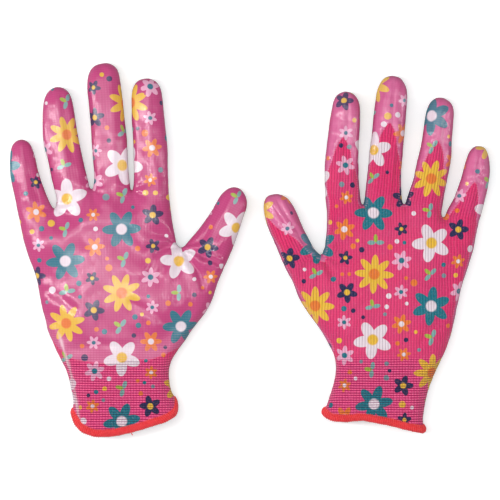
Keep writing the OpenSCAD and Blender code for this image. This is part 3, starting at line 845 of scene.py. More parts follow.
def chart(glove, flat):
    """Distance from the edge, outward direction there, the extra arc length (eased off in the
    crotches) and its value at the edge."""
    xy = flat[:, :2]
    distance, outward = glove.nearest(xy)
    distance = np.where(glove.sample(glove.depth, xy) > 0, distance, 0)
    ease = np.ones(len(xy))
    for corner in glove.crotch.values():
        ease *= smooth(lengths(xy - corner), 5, 20)
    extra = np.interp(distance, ARC_X, ARC_EXTRA) * (1 - smooth(distance, 3.5, 8.0)) * ease
    return distance, outward, extra, float(ARC_EXTRA[0]) * ease


def motif_table(glove, palm_side):
    """x, y, radius, code and turn of the motifs on one side of a glove.

    The palm print is laid out on glove a and the back print on glove b; the other is mirrored.
    """
    rows = []
    for x, y, radius, kind, ink, turn in PRINT_PALM if palm_side else PRINT_BACK:
        if palm_side != glove.palm_up:
            x, turn = mirror(x), 180 - turn
            y = y * (LENGTH_RATIO if glove.key == "a" else 1 / LENGTH_RATIO)
        rows.append((x, y, radius, KIND[kind] + ink / 16.0, math.radians(turn)))
    motifs = np.array(rows)
    _, outward, extra, _ = chart(glove, motifs)
    motifs[:, :2] += outward * extra[:, None]
    return motifs


def print_rows(glove, flat, tri, large):
    """For each triangle corner: place inside the nearest printed motif, and that motif's code."""
    depth, outward, extra, edge_extra = chart(glove, flat)
    top = flat[:, 2] > glove.rim
    out = np.zeros((len(tri), 3, 3))
    out[:, :, :2] = 9
    best = np.full(len(tri), 1.12)
    mostly_top = top[tri].mean(1) > 0.5
    near_edge = depth[tri].mean(1) < 6.0
    for up in (True, False):
        shift = np.where(top == up, extra, 2 * depth + 2 * edge_extra - extra)
        spread = flat[:, :2] + outward * shift[:, None]
        motifs = motif_table(glove, palm_side=(up == glove.palm_up))
        motifs = motifs[(motifs[:, 2] >= LARGE_MOTIF) == large]
        centre = spread[tri].mean(1)
        allowed = (mostly_top | near_edge) if up else ~mostly_top
        for x, y, radius, code, turn in motifs:
            distance = (np.hypot(centre[:, 0] - x, centre[:, 1] - y) / radius
                        - (0 if large else 1.4 / radius))
            hit = allowed & (distance < best)
            if not hit.any():
                continue
            best[hit] = distance[hit]
            place = (spread[tri[hit]] - np.array([x, y])) / radius
            if not up:
                place = place * np.array([-1, 1])
            cosine, sine = math.cos(turn), math.sin(turn)
            out[hit, :, 0] = place[:, :, 0] * cosine + place[:, :, 1] * sine
            out[hit, :, 1] = -place[:, :, 0] * sine + place[:, :, 1] * cosine
            out[hit, :, 2] = code
    return out


def knit_rows(glove, flat, tri, on_digit):
    """Wale and course coordinates in mm: straight on the hand, along each digit; and cuff share."""
    _, outward, extra, _ = chart(glove, flat)
    spread = flat[:, :2] + outward * extra[:, None]
    label = glove.label(flat[tri].mean(1)[:, :2])
    out = np.zeros((len(tri), 3, 3))
    out[:, :, :2] = spread[tri]
    for i, digit in enumerate(DIGITS):
        mine = (label == i) & on_digit
        line = glove.line[digit]
        along = line[-1] - line[1]
        along = along / np.linalg.norm(along)
        place = spread[tri[mine]] - line[1]
        out[mine, :, 0] = place @ np.array([along[1], -along[0]])
        out[mine, :, 1] = place @ along
    out[:, :, 2] = smooth(-flat[:, 1], -9, 0)[tri]
    return out


def bare_strip(glove, flat):
    """Strength of the unprinted strip down the folded edge of glove a's knit."""
    if glove.key != "a":
        return np.zeros(len(flat))
    distance = line_distance(flat[:, :2], BARE_STRIP) - 0.25 * np.sin(flat[:, 1] / 2.1)
    return (bell(np.maximum(distance, 0), 0.75) * (flat[:, 2] > glove.rim)
            * (1 - smooth(flat[:, 1], 12, 28)))


# ---------------------------------------------------------------- objects
def put(glove, name, points, faces, material, normals=None, corner=(), point=()):
    """A mesh object from points in mm. corner and point hold named attributes."""
    name = glove.prefix + name
    mesh = bpy.data.meshes.new(name)
    faces = np.asarray(faces, np.int32)
    count, sides = faces.shape
    mesh.vertices.add(len(points))
    points = (points + glove.origin) / 1000
    mesh.vertices.foreach_set("co", np.asarray(points, np.float32).ravel())
    mesh.loops.add(count * sides)
    mesh.loops.foreach_set("vertex_index", faces.ravel())
    mesh.polygons.add(count)
    starts = np.arange(0, count * sides, sides, dtype=np.int32)
    mesh.polygons.foreach_set("loop_start", starts)
    mesh.polygons.foreach_set("use_smooth", np.ones(count, bool))
    mesh.update(calc_edges=True)
    for domain, attributes in (("CORNER", dict(corner)), ("POINT", dict(point))):
        for key, values in attributes.items():
            attribute = mesh.attributes.new(key, "FLOAT_VECTOR", domain)
            attribute.data.foreach_set("vector", np.asarray(values, np.float32).ravel())
    if normals is not None:
        mesh.normals_split_custom_set(np.asarray(normals, np.float32).reshape(-1, 3))
    mesh.materials.append(material)
    ob = bpy.data.objects.new(name, mesh)
    SCENE.collection.objects.link(ob)
    return ob


def put_on_cuff(glove, name, points, faces, material, solid):
    ob = put(glove, name, points, faces, material)
    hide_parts(glove.prefix + solid)
    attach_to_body(ob, glove.prefix + "cuff")


# Columns of a skin vertex: final place, normal, place on the unwrinkled skin.
PLACE, NORMAL, FLAT = slice(0, 3), slice(3, 6), slice(6, 9)


def shell(glove, name, rows, tri, outer, inner, material, corner, fx):
    """A closed thin shell round a patch of the skin, between two offsets along the normal."""
    for _ in range(4):                       # no corner may be pinched to a single point
        good = unpinched(tri)
        if good.all():
            break
        tri = tri[good]
        corner = {key: values[good] for key, values in corner.items()}
    used, inverse = np.unique(tri, return_inverse=True)
    tri = inverse.reshape(tri.shape)
    place, normal = rows[used, PLACE], rows[used, NORMAL]
    count = len(used)
    points = np.vstack([place + normal * outer[used][:, None],
                        place + normal * inner[used][:, None]])
    edges, edge_tri = open_edges(tri)
    a, b = edges.T
    rim = np.vstack([np.stack([b, a, a + count], 1), np.stack([b, a + count, b + count], 1)])
    faces = np.vstack([tri, tri[:, ::-1] + count, rim])
    rim_normal = unit(np.cross(points[rim[:, 1]] - points[rim[:, 0]],
                               points[rim[:, 2]] - points[rim[:, 0]]), 1e-9)
    normals = np.vstack([normal[tri].reshape(-1, 3), -normal[tri[:, ::-1]].reshape(-1, 3),
                         np.repeat(rim_normal, 3, 0)])
    attributes = {}
    for key, values in corner.items():
        rim_values = np.vstack([values[edge_tri].mean(1, keepdims=True).repeat(3, 1)] * 2)
        attributes[key] = np.vstack([values, values[:, ::-1], rim_values]).reshape(-1, 3)
    inside = np.zeros((len(faces) * 3, 3))
    inside[len(tri) * 3:, 0] = 1
    attributes["inner"] = inside
    return put(glove, name, points, faces, material, normals, attributes,
               {"fx": np.vstack([fx[used], fx[used]])})


def tube(path, outward, radius, sides, closed=True, squash=1.0):
    """Points and quads of a cord along a path, with one outward direction a point."""
    count = len(path)
    tangent = unit(np.roll(path, -1, 0) - np.roll(path, 1, 0) if closed
                   else np.gradient(path, axis=0))
    u = unit(outward - (outward * tangent).sum(1)[:, None] * tangent)
    v = np.cross(tangent, u)
    angle = np.arange(sides) * 2 * np.pi / sides
    radius = np.broadcast_to(radius, count)[:, None, None]
    ring = path[:, None, :] + radius * (np.cos(angle)[None, :, None] * u[:, None, :] * squash
                                        + np.sin(angle)[None, :, None] * v[:, None, :])
    i = np.arange(count if closed else count - 1)[:, None] * sides
    j = (i + sides) % (count * sides)
    k = np.arange(sides)[None, :]
    after = (k + 1) % sides
    quads = np.stack([i + k, j + k, j + after, i + after], -1).reshape(-1, 4)
    return ring.reshape(-1, 3), quads


# ---------------------------------------------------------------- cloth simulation
CLOTH = {"quality": 5, "mass": 0.12, "air_damping": 4.0, "tension_stiffness": 12.0,
         "compression_stiffness": 12.0, "shear_stiffness": 4.0, "bending_stiffness": 0.04,
         "tension_damping": 6.0, "compression_damping": 6.0, "shear_damping": 6.0,
         "bending_damping": 0.6, "shrink_min": -0.055, "use_pressure": True,
         "uniform_pressure_force": 1.2, "vertex_group_mass": "hold"}


def run_cloth(glove, points, tri, hold, frames):
    """How far (mm) the cloth solver moves each point; points in hold are pinned."""
    name = glove.prefix + "settle"
    mesh = bpy.data.meshes.new(name)
    mesh.from_pydata([tuple(point) for point in (points / 1000).tolist()], [], tri.tolist())
    mesh.update()
    ob = bpy.data.objects.new(name, mesh)
    SCENE.collection.objects.link(ob)
    group = ob.vertex_groups.new(name="hold")
    group.add(np.nonzero(hold)[0].tolist(), 1.0, "REPLACE")
    cloth = ob.modifiers.new("settle", "CLOTH")
    for key, value in CLOTH.items():
        setattr(cloth.settings, key, value)
    cloth.settings.effector_weights.gravity = 0.0
    cloth.collision_settings.use_collision = False
    cloth.collision_settings.use_self_collision = False
    cloth.point_cache.frame_start = 1
    cloth.point_cache.frame_end = frames
    frame_before = SCENE.frame_current
    for i in range(1, frames + 1):
        SCENE.frame_set(i)
    evaluated = ob.evaluated_get(bpy.context.evaluated_depsgraph_get())
    settled = np.empty(len(points) * 3, np.float32)
    evaluated.data.vertices.foreach_get("co", settled)
    move = settled.reshape(-1, 3).astype(float) * 1000 - points
    ob.modifiers.remove(cloth)
    bpy.data.objects.remove(ob)
    bpy.data.meshes.remove(mesh)
    SCENE.frame_set(frame_before)
    move[~np.isfinite(move).all(1)] = 0
    return move


def relax(glove, flat, frames=18, cell=2.7):
    """Lets the glove settle: a coarse skin, cut a little too large and held up by light pressure,
    runs through the cloth solver. Returns the smoothed, capped lift of each flat point (mm)."""
    points, tri = glove.skin(cell)
    count = len(points)
    xy = points[:, :2]
    hold = ((points[:, 2] < glove.rim - 4.2) | (glove.sample(glove.depth, xy) < 0.9)
            | (points[:, 1] < -40))
    move = run_cloth(glove, points, tri, hold, frames)
    lift = (move * vertex_normals(points, tri)).sum(1)
    lift -= np.median(lift[~hold])
    start, end = triangle_edges(tri).T
    degree = np.bincount(start, minlength=count) + 1.0

    def blend_round(values, times):
        for _ in range(times):
            values = (values + np.bincount(start, weights=values[end], minlength=count)) / degree
        return values

    lift = blend_round(lift, 1)
    lift = lift - 0.85 * blend_round(lift, 45)      # keep the folds, not the overall swelling
    # on the digits the folds are drawn out lengthwise
    label = glove.label(xy)
    run = np.zeros(count)
    axis = np.zeros((count, 2))
    for i, digit in enumerate(DIGITS):
        fold = glove.folds[digit]
        along = glove.line[digit][-1] - glove.line[digit][1]
        mine = label == i
        axis[mine] = along / np.linalg.norm(along)
        run[mine] = smooth((xy[mine] - fold.base) @ fold.base_way, -10, 8)
    along = (((xy[end] - xy[start]) * axis[start]).sum(1)
             / lengths(points[end] - points[start]))
    weight = np.abs(along) ** 3 * run[start]
    own = 0.4
    total = own + np.bincount(start, weights=weight, minlength=count)
    for _ in range(26):
        lift = (own * lift + np.bincount(start, weights=weight * lift[end],
                                         minlength=count)) / total
    cap = 0.8
    lift = cap * np.tanh(lift * (0.38 + 0.10 * run) / cap)
    tree = KDTree(count)
    for i, point in enumerate(points.tolist()):
        tree.insert(point, i)
    tree.balance()
    index = np.zeros((len(flat), 5), int)
    weight = np.zeros((len(flat), 5))
    for i, point in enumerate(flat.tolist()):
        for k, (_, j, distance) in enumerate(tree.find_n(point, 5)):
            index[i, k] = j
            weight[i, k] = math.exp(-(distance / (0.75 * cell)) ** 2)
    return (lift[index] * weight).sum(1) / weight.sum(1)


# ---------------------------------------------------------------- building one glove
def hemmed_skin(glove):
    """Wrinkled skin of the glove down to its hem."""
    flat, tri = glove.skin(CELL)
    lift = glove.relief(flat)
    inner = (smooth(glove.sample(glove.depth, flat[:, :2]), 0.6, 5.0)
             * smooth(flat[:, 2], glove.rim - 3, glove.rim + 3))
    lift = lift + relax(glove, flat) * inner * 0.9
    place = flat + vertex_normals(flat, tri) * lift[:, None]
    place[:, 2] = np.maximum(place[:, 2], LOWEST)
    rows = np.hstack([place, vertex_normals(place, tri), flat])
    rows, tri, _, side = cut(rows, tri, glove.hem(rows[:, FLAT]))
    used, inverse = np.unique(tri[side > 0], return_inverse=True)
    return rows[used], inverse.reshape(-1, 3)


def cut_pieces(glove, rows, tri):
    """Cuts the skin. Returns rows, triangles, piece number (0 hand, 1 cuff, then base and tip of
    each digit) and which triangles are dipped."""
    rows, tri, _, hand_side = cut(rows, tri, rows[:, 7] - CUFF_CUT)
    sides = {"wrist": hand_side}
    for i, digit in enumerate(DIGITS):
        fold = glove.folds[digit]
        for part, at, place, way in (("base", fold.start, fold.base, fold.base_way),
                                     ("tip", -fold.reach, fold.middle, fold.middle_way)):
            mine = glove.label(rows[tri][:, :, 6:8].mean(1)) == i
            rows, tri, source, side = cut(rows, tri, (rows[:, 6:8] - place) @ way - at, keep=mine)
            sides = {key: values[source] for key, values in sides.items()}
            sides[digit, part] = np.where(mine[source], side, -1)
    rows, tri, source, dipped = cut(rows, tri, glove.dip(rows[:, FLAT]))
    sides = {key: values[source] for key, values in sides.items()}
    rows[:, NORMAL] /= lengths(rows[:, NORMAL])[:, None]
    piece = np.zeros(len(tri), int)
    piece[sides["wrist"] < 0] = 1
    for i, digit in enumerate(DIGITS):
        beyond = sides[digit, "base"] > 0
        piece[beyond] = 2 + 2 * i
        piece[beyond & (sides[digit, "tip"] > 0)] = 3 + 2 * i
    return rows, tri, piece, dipped > 0


def build_glove(key, materials):
    glove = Glove(key)
    hem_rows, hem_tri = hemmed_skin(glove)
    rows, tri, piece, dipped = cut_pieces(glove, hem_rows, hem_tri)
    flat = rows[:, FLAT]
    corners = {"m0": knit_rows(glove, flat, tri, piece >= 2),
               "m1": print_rows(glove, flat, tri, True),
               "m2": print_rows(glove, flat, tri, False)}
    on_back = (((flat[:, 2] > glove.rim) != glove.palm_up)
               * smooth(glove.sample(glove.depth, flat[:, :2]), 0.0, 2.0))
    fx = np.stack([glove.dip_cover(flat), on_back, bare_strip(glove, flat)], 1)
    film = FILM_EDGE + (FILM - FILM_EDGE) * smooth(glove.dip(flat), 0, 3.5)
    zero = np.zeros(len(rows))
    names = [("hand_liner", "palm_coating"), ("cuff_liner", "cuff_edge_coating")]
    for digit in DIGITS:
        for part in ("base", "tip"):
            stem = digit + "_" + part
            names.append((stem + "_sleeve", stem + "_coating"))
    for i, (liner_name, film_name) in enumerate(names):
        own = piece == i
        for name, suffix, pick, outer, inner, material, slot in (
                (liner_name, "_knit", own, zero, zero - WALL, "knit", "knit_liner"),
                (film_name, "_film", own & dipped, film, zero + FILM_SINK, "dip", "coating")):
            corner = {layer: values[pick] for layer, values in corners.items()}
            ob = shell(glove, name + suffix, rows, tri[pick], outer, inner,
                       materials[material], corner, fx)
            if name != "cuff_edge_coating":     # has no CAD solid of its own
                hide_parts(glove.prefix + name)
            attach(ob, glove, i)
    build_hem(glove, hem_rows, hem_tri, materials)


def attach(ob, glove, piece):
    """The hand piece rides the hand; the rest keep their place, with the transform baked into the
    mesh.
    """
    def world(x, y):
        return ((x + glove.origin[0]) / 1000, (y + glove.origin[1]) / 1000, glove.rim / 1000)

    hand = glove.prefix + "hand"
    if piece == 0:
        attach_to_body(ob, hand)
        return
    if piece == 1:
        world(0, CUFF_CUT)
        world(0, -CUFF_CUT)
        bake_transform(ob)
        return
    digit = DIGITS[(piece - 2) // 2]
    fold = glove.folds[digit]
    if piece % 2 == 0:
        world(*(fold.base + fold.base_way * fold.start))
        world(*(fold.base + fold.base_way * fold.end))
        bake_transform(ob)
    else:
        world(*(fold.middle - fold.middle_way * fold.reach))
        world(*(fold.middle + fold.middle_way * fold.reach))
        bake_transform(ob)


# ---------------------------------------------------------------- hem, thread and elastic
BAND_SIDES, THREAD_SIDES, ELASTIC_SIDES, TAIL_SIDES = 16, 6, 8, 7
BAND_STEP = 1.0             # spacing of the band's rings
STITCH_PITCH = 1.25         # length of hem for each turn of the overlock thread
STITCH_POINTS = 16          # points in a turn
HEM_STATIONS = 1200
ELASTIC_SHARES = (0.08, 0.36, 0.64, 0.92)   # rows of elastic, from top of cuff to hem


def hem_guide(glove, rows, tri):
    """Length of the hem, and a function giving centre and outward direction of the band."""
    loop = boundary_loop(tri, np.abs(glove.hem(rows[:, FLAT])) < 0.6)
    outward = rows[loop, NORMAL]
    path = rows[loop, PLACE] - outward * (WALL * 0.5)
    run = np.concatenate([[0], np.cumsum(lengths(np.roll(path, -1, 0) - path))])
    total = run[-1]
    stations = np.linspace(0, total, HEM_STATIONS, endpoint=False)

    def resampled(values):
        closed = np.vstack([values, values[:1]])
        even = np.stack([np.interp(stations, run, closed[:, k]) for k in range(3)], 1)
        return loop_blur(even, 1.6 / (total / HEM_STATIONS))

    path, outward = resampled(path), resampled(outward)

    def guide(at):
        place = (at % total) / total * HEM_STATIONS
        i = np.floor(place).astype(int) % HEM_STATIONS
        after = (i + 1) % HEM_STATIONS
        share = (place - np.floor(place))[:, None]
        centre, out = (values[i] * (1 - share) + values[after] * share
                       for values in (path, outward))
        centre = centre + HEM_SHIFT
        centre[:, 2] = np.maximum(centre[:, 2], 2.25)
        return centre, out

    return total, guide


def band_radius(at):
    return 2.35 + 0.07 * wave(at, 7.3) + 0.05 * wave(at, 3.1)


def build_hem(glove, rows, tri, materials):
    """Soft core band, overlock thread wound over it, loose thread tail and cuff elastic."""
    total, guide = hem_guide(glove, rows, tri)
    count = int(total / BAND_STEP)
    at = np.arange(count) * total / count
    centre, outward = guide(at)
    points, quads = tube(centre, outward, band_radius(at), BAND_SIDES, squash=0.72)
    put_on_cuff(glove, "hem_core_band", points, quads, materials["hem"],
                "hem_binding")

    count = int(total / STITCH_PITCH) * STITCH_POINTS
    at = np.arange(count) * total / count
    centre, outward = guide(at)
    tangent = unit(np.roll(centre, -4, 0) - np.roll(centre, 4, 0))
    u = unit(outward - (outward * tangent).sum(1)[:, None] * tangent)
    v = np.cross(tangent, u)
    angle = np.arange(count) * 2 * np.pi / STITCH_POINTS
    cosine, sine = np.cos(angle)[:, None], np.sin(angle)[:, None]
    radius = band_radius(at) + 0.10
    helix = (centre + radius[:, None] * (0.74 * cosine * u + sine * v)
             + 0.35 * np.sin(2 * angle)[:, None] * tangent)
    helix[:, 2] = np.maximum(helix[:, 2], 0.42)
    points, quads = tube(helix, cosine * u + sine * v, 0.36, THREAD_SIDES, squash=0.8)
    put_on_cuff(glove, "hem_overlock_stitches", points, quads, materials["thread"],
                "hem_binding")

    build_tail(glove, centre, materials["thread"])
    build_elastic(glove, rows, materials["elastic"])


def box_of(glove, name):
    """Low and high corner of a CAD solid in mm."""
    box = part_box(glove.prefix + name)
    return [np.array(box[k]) * 1000 - glove.origin for k in (0, 1)]


def build_tail(glove, centre, material):
    """Loose end of the overlock thread, hanging out of the hem: two twisted strands."""
    low, high = box_of(glove, "hem_thread")
    middle = (low + high) / 2
    start = centre[np.argmin(np.hypot(centre[:, 0] - middle[0], centre[:, 1] - high[1])
                             + 0.4 * np.abs(centre[:, 2] - 3))]
    end = np.array([start[0] + 2.4, min(low[1] + 0.2, start[1] - 3.9), max(low[2] - 0.6, 0.6)])
    share = np.linspace(0, 1, 26)
    path = start * (1 - share[:, None]) + end * share[:, None]
    path[:, 0] += 0.5 * np.sin(share * 5.2) * share[::-1]
    path[:, 2] += 0.5 * np.sin(np.pi * share)
    up = np.tile(np.array([0, 0, 1.0]), (len(path), 1))
    twist = 0.19
    points, faces, base = [], [], 0
    for strand in (0, 1):
        angle = share * 30 + np.pi * strand
        line = path + np.stack([np.cos(angle) * twist, 0 * angle, np.sin(angle) * twist * 0.6], 1)
        ring, quads = tube(line, up, np.linspace(0.27, 0.2, len(line)), TAIL_SIDES, closed=False)
        points.append(np.vstack([ring, line[:1], line[-1:]]))
        first_cap = base + len(ring)
        last_ring = first_cap - TAIL_SIDES
        faces.append(np.vstack([quads[:, [0, 1, 2]], quads[:, [0, 2, 3]]]) + base)
        i = np.arange(TAIL_SIDES)
        j = (i + 1) % TAIL_SIDES
        faces.append(np.stack([base + j, base + i, np.full(TAIL_SIDES, first_cap)], 1))
        faces.append(np.stack([last_ring + i, last_ring + j,
                               np.full(TAIL_SIDES, first_cap + 1)], 1))
        base += len(ring) + 2
    put_on_cuff(glove, "hem_thread_tail", np.vstack(points), np.vstack(faces), material,
                "hem_thread")


def build_elastic(glove, rows, material):
    """Elastic yarn laid into the inside of the cuff."""
    top = box_of(glove, "cuff_elastic")[1][1] - 1.0
    points, faces, base = [], [], 0
    for share in ELASTIC_SHARES:
        path, outward = cuff_ring(glove, top, share, rows)
        ring, quads = tube(path, outward, 0.34, ELASTIC_SIDES)
        points.append(ring)
        faces.append(quads + base)
        base += len(ring)
    put_on_cuff(glove, "cuff_elastic_yarn", np.vstack(points), np.vstack(faces), material,
                "cuff_elastic")


def cuff_ring(glove, top, share, rows):
    """Closed loop just inside the cuff wall, a share of the way from top down to the hem."""
    y = top + share * (-24.0 - top)
    x = np.linspace(-60, 60, 1201)
    inside = x[glove.sample(glove.depth, np.stack([x, np.full_like(x, y)], 1)) > 0]
    x0, x1 = inside[0], inside[-1]
    xs = (x0 + x1) / 2 - (x1 - x0) / 2 * np.cos(np.linspace(0, np.pi, 70)[1:-1])
    count = 2 * len(xs)
    ring = np.stack([np.append(xs, xs[::-1]), np.full(count, y), np.zeros(count)], 1)
    under = np.arange(count) >= len(xs)
    for _ in range(3):
        xy = ring[:, :2]
        roundness = np.clip(glove.sample(glove.roundness, xy), 0.02, 1)
        ring[:, 2] = np.where(under, glove.rim - (glove.rim - LOWEST) * roundness ** 0.4,
                              glove.rim + glove.sample(glove.rise, xy) * np.sqrt(roundness))
        hem_y = ring[:, 1] - glove.hem(ring)
        ring[:, 1] = top + share * (hem_y + 3.4 - top)
    near = rows[rows[:, 7] < top + 6]
    near = near[((ring[:, None, :] - near[None, :, FLAT]) ** 2).sum(2).argmin(1)]
    normal = unit(near[:, NORMAL])
    offset = ring - near[:, FLAT]
    offset -= (offset * normal).sum(1)[:, None] * normal
    ring = near[:, PLACE] + offset - normal * (WALL + 0.55)
    return loop_blur(ring, 1.2), unit(loop_blur(normal, 1.2))


# ---------------------------------------------------------------- shader tools
class Value:
    """A shader socket; + - * on it add Math nodes."""

    def __init__(self, net, socket):
        self.net, self.socket = net, socket

    def __add__(self, other):
        return self.net.math("ADD", self, other)

    def __radd__(self, other):
        return self.net.math("ADD", other, self)

    def __sub__(self, other):
        return self.net.math("SUBTRACT", self, other)

    def __rsub__(self, other):
        return self.net.math("SUBTRACT", other, self)

    def __mul__(self, other):
        return self.net.math("MULTIPLY", self, other)


class Net:
    """Adds nodes to a node tree."""

    def __init__(self, tree):
        self.tree = tree

    def node(self, kind, inputs=(), **settings):
        """A node; inputs maps socket names or numbers to values."""
        node = self.tree.nodes.new(kind)
        for key, value in settings.items():
            setattr(node, key, value)
        self.fill(node, inputs)
        return node

    def fill(self, node, inputs):
        for key, value in dict(inputs).items():
            socket = node.inputs[key]
            if isinstance(value, Value):
                self.tree.links.new(value.socket, socket)
            elif isinstance(value, tuple):
                socket.default_value = (*value, 1)
            else:
                socket.default_value = value

    def math(self, operation, a, b=0.0, c=0.0, clamp=False):
        node = self.node("ShaderNodeMath", {0: a, 1: b, 2: c}, operation=operation,
                         use_clamp=clamp)
        return Value(self, node.outputs[0])

    def absolute(self, a):
        return self.math("ABSOLUTE", a)

    def sine(self, a):
        return self.math("SINE", a)

    def hypot(self, a, b):
        return self.math("SQRT", a * a + b * b)

    def mix(self, share, a, b, blend="MIX"):
        node = self.node("ShaderNodeMix", data_type="RGBA", blend_type=blend)
        self.fill(node, {0: share, 6: a, 7: b})
        return Value(self, node.outputs[2])

    def ramp(self, x, start, end, low=0.0, high=1.0):
        """Smooth step from low at start to high at end."""
        node = self.node("ShaderNodeMapRange", interpolation_type="SMOOTHSTEP")
        self.fill(node, {0: x, 1: start, 2: end, 3: low, 4: high})
        return Value(self, node.outputs[0])

    def attribute(self, name):
        node = self.node("ShaderNodeAttribute", attribute_type="GEOMETRY", attribute_name=name)
        split = self.node("ShaderNodeSeparateXYZ", {0: Value(self, node.outputs["Vector"])})
        return [Value(self, split.outputs[k]) for k in range(3)]

    def object_place(self):
        return Value(self, self.node("ShaderNodeTexCoord").outputs["Object"])

    def vector(self, x, y):
        node = self.node("ShaderNodeCombineXYZ", {0: x, 1: y, 2: 0.0})
        return Value(self, node.outputs[0])

    def noise(self, vector, scale, detail, roughness=0.5):
        node = self.node("ShaderNodeTexNoise", {"Vector": vector, "Scale": scale,
                                                "Detail": detail, "Roughness": roughness})
        return Value(self, node.outputs[0])

    def bump(self, height, distance, strength):
        node = self.node("ShaderNodeBump", {"Strength": strength, "Distance": distance,
                                            "Height": height})
        return Value(self, node.outputs[0])

    def printed(self, group, ground):
        node = self.node("ShaderNodeGroup")
        node.node_tree = group
        self.fill(node, {0: ground})
        return Value(self, node.outputs[0])


def new_material(name):
    material = bpy.data.materials.new(name)
    material.use_nodes = True
    return material, Net(material.node_tree), material.node_tree.nodes["Principled BSDF"]


# ---------------------------------------------------------------- printed motifs
class Motif:
    """Masks of simple shapes in a unit disc."""

    def __init__(self, net, x, y):
        self.net, self.x, self.y = net, x, y
        self.radius = net.hypot(x, y)
        self.angle = net.math("ARCTAN2", y, x)

    def inside(self, value, edge, soft=0.045):
        return self.net.ramp(value, edge - soft, edge + soft, 1.0, 0.0)

    def disc(self, radius):
        return self.inside(self.radius, radius)

    def petals(self, count, start=0.02, end=0.98, fat=0.98):
        """count rounded petals between two radii."""
        middle, half = (start + end) / 2, (end - start) / 2
        turns = self.angle * (count / (2 * math.pi)) + 0.0
        sector = self.net.math("FRACT", turns + 10.5) - 0.5
        across = sector * self.radius * (2 * math.pi / count)
        a = across * (1 / (math.pi * middle / count * fat))
        b = (self.radius - middle) * (1 / half)
        return self.inside(self.net.hypot(a, b), 0.96)

    def spot(self, x, y, radius_x, radius_y):
        a = (self.x - x) * (1 / radius_x)
        b = (self.y - y) * (1 / radius_y)
        return self.inside(self.net.hypot(a, b), 1.0)

    def layers(self, name):
        """Mask and colour of each layer of a leaf group or flower, bottom first."""
        if name == "leaf":
            return [(self.spot(0.46, 0.0, 0.44, 0.24), GREEN),
                    (self.spot(-0.46, 0.0, 0.44, 0.24), GREEN),
                    (self.spot(0.0, 0.46, 0.22, 0.42), LIME)]
        count, petal, heart = FLOWERS[name]
        return [(self.petals(count), petal), (self.disc(0.27), heart)]


def paint(net, attribute, ground, names):
    """Printed motifs named by the attribute, painted over the ground colour."""
    x, y, code = net.attribute(attribute)
    motif = Motif(net, x, y)
    kind = net.math("FLOOR", code + 0.02)

    def equals(value, number):
        return net.math("COMPARE", value, float(number), 0.3)

    out = ground
    for name in names:
        if name == "dot":
            ink = net.math("ROUND", (code - kind) * 16.0)
            colour = DOT_INKS[0]
            for i, other in enumerate(DOT_INKS[1:]):
                colour = net.mix(equals(ink, i + 1), colour, other)
            out = net.mix(equals(kind, KIND[name]) * motif.disc(0.92), out, colour)
            continue
        part = out
        for mask, colour in motif.layers(name):
            part = net.mix(mask, part, colour)
        out = net.mix(equals(kind, KIND[name]), out, part)
    return out


def print_group():
    """The whole print as a node group, shared by the knit and the film."""
    group = bpy.data.node_groups.new("garden_floral_print", "ShaderNodeTree")
    group.interface.new_socket("Ground", in_out="INPUT", socket_type="NodeSocketColor")
    group.interface.new_socket("Print", in_out="OUTPUT", socket_type="NodeSocketColor")
    net = Net(group)
    ground = Value(net, net.node("NodeGroupInput").outputs[0])
    large = paint(net, "m1", ground, list(FLOWERS))
    small = paint(net, "m2", large, ["dot", "leaf", "orange_flower", "navy_flower", "pale_flower"])
    net.node("NodeGroupOutput", {0: small})
    return group


# ---------------------------------------------------------------- materials
def knit_field(net):
    """Stitch heights from the wale and course coordinates: V pairs, coarser rows on the cuff."""
    wale_pitch, stitch_pitch, row_pitch = 1.8, 1.10, 1.5
    x, y, cuff = net.attribute("m0")
    wobble = (net.noise(net.vector(x * 0.05, y * 0.05), scale=1.0, detail=2.0) - 0.5) * 1.4
    phase = (x + wobble) * (2 * math.pi / wale_pitch)
    wale = net.absolute(net.sine(phase * 0.5))
    vee = net.sine(y * (2 * math.pi / stitch_pitch) + net.absolute(net.sine(phase)) * 1.6)
    row = net.sine((y + wobble * 0.5) * (2 * math.pi / row_pitch))
    height = wale * 0.95 + vee * (0.07 + cuff * 0.10)
    return height + row * cuff * 0.35, wale, vee, row, cuff


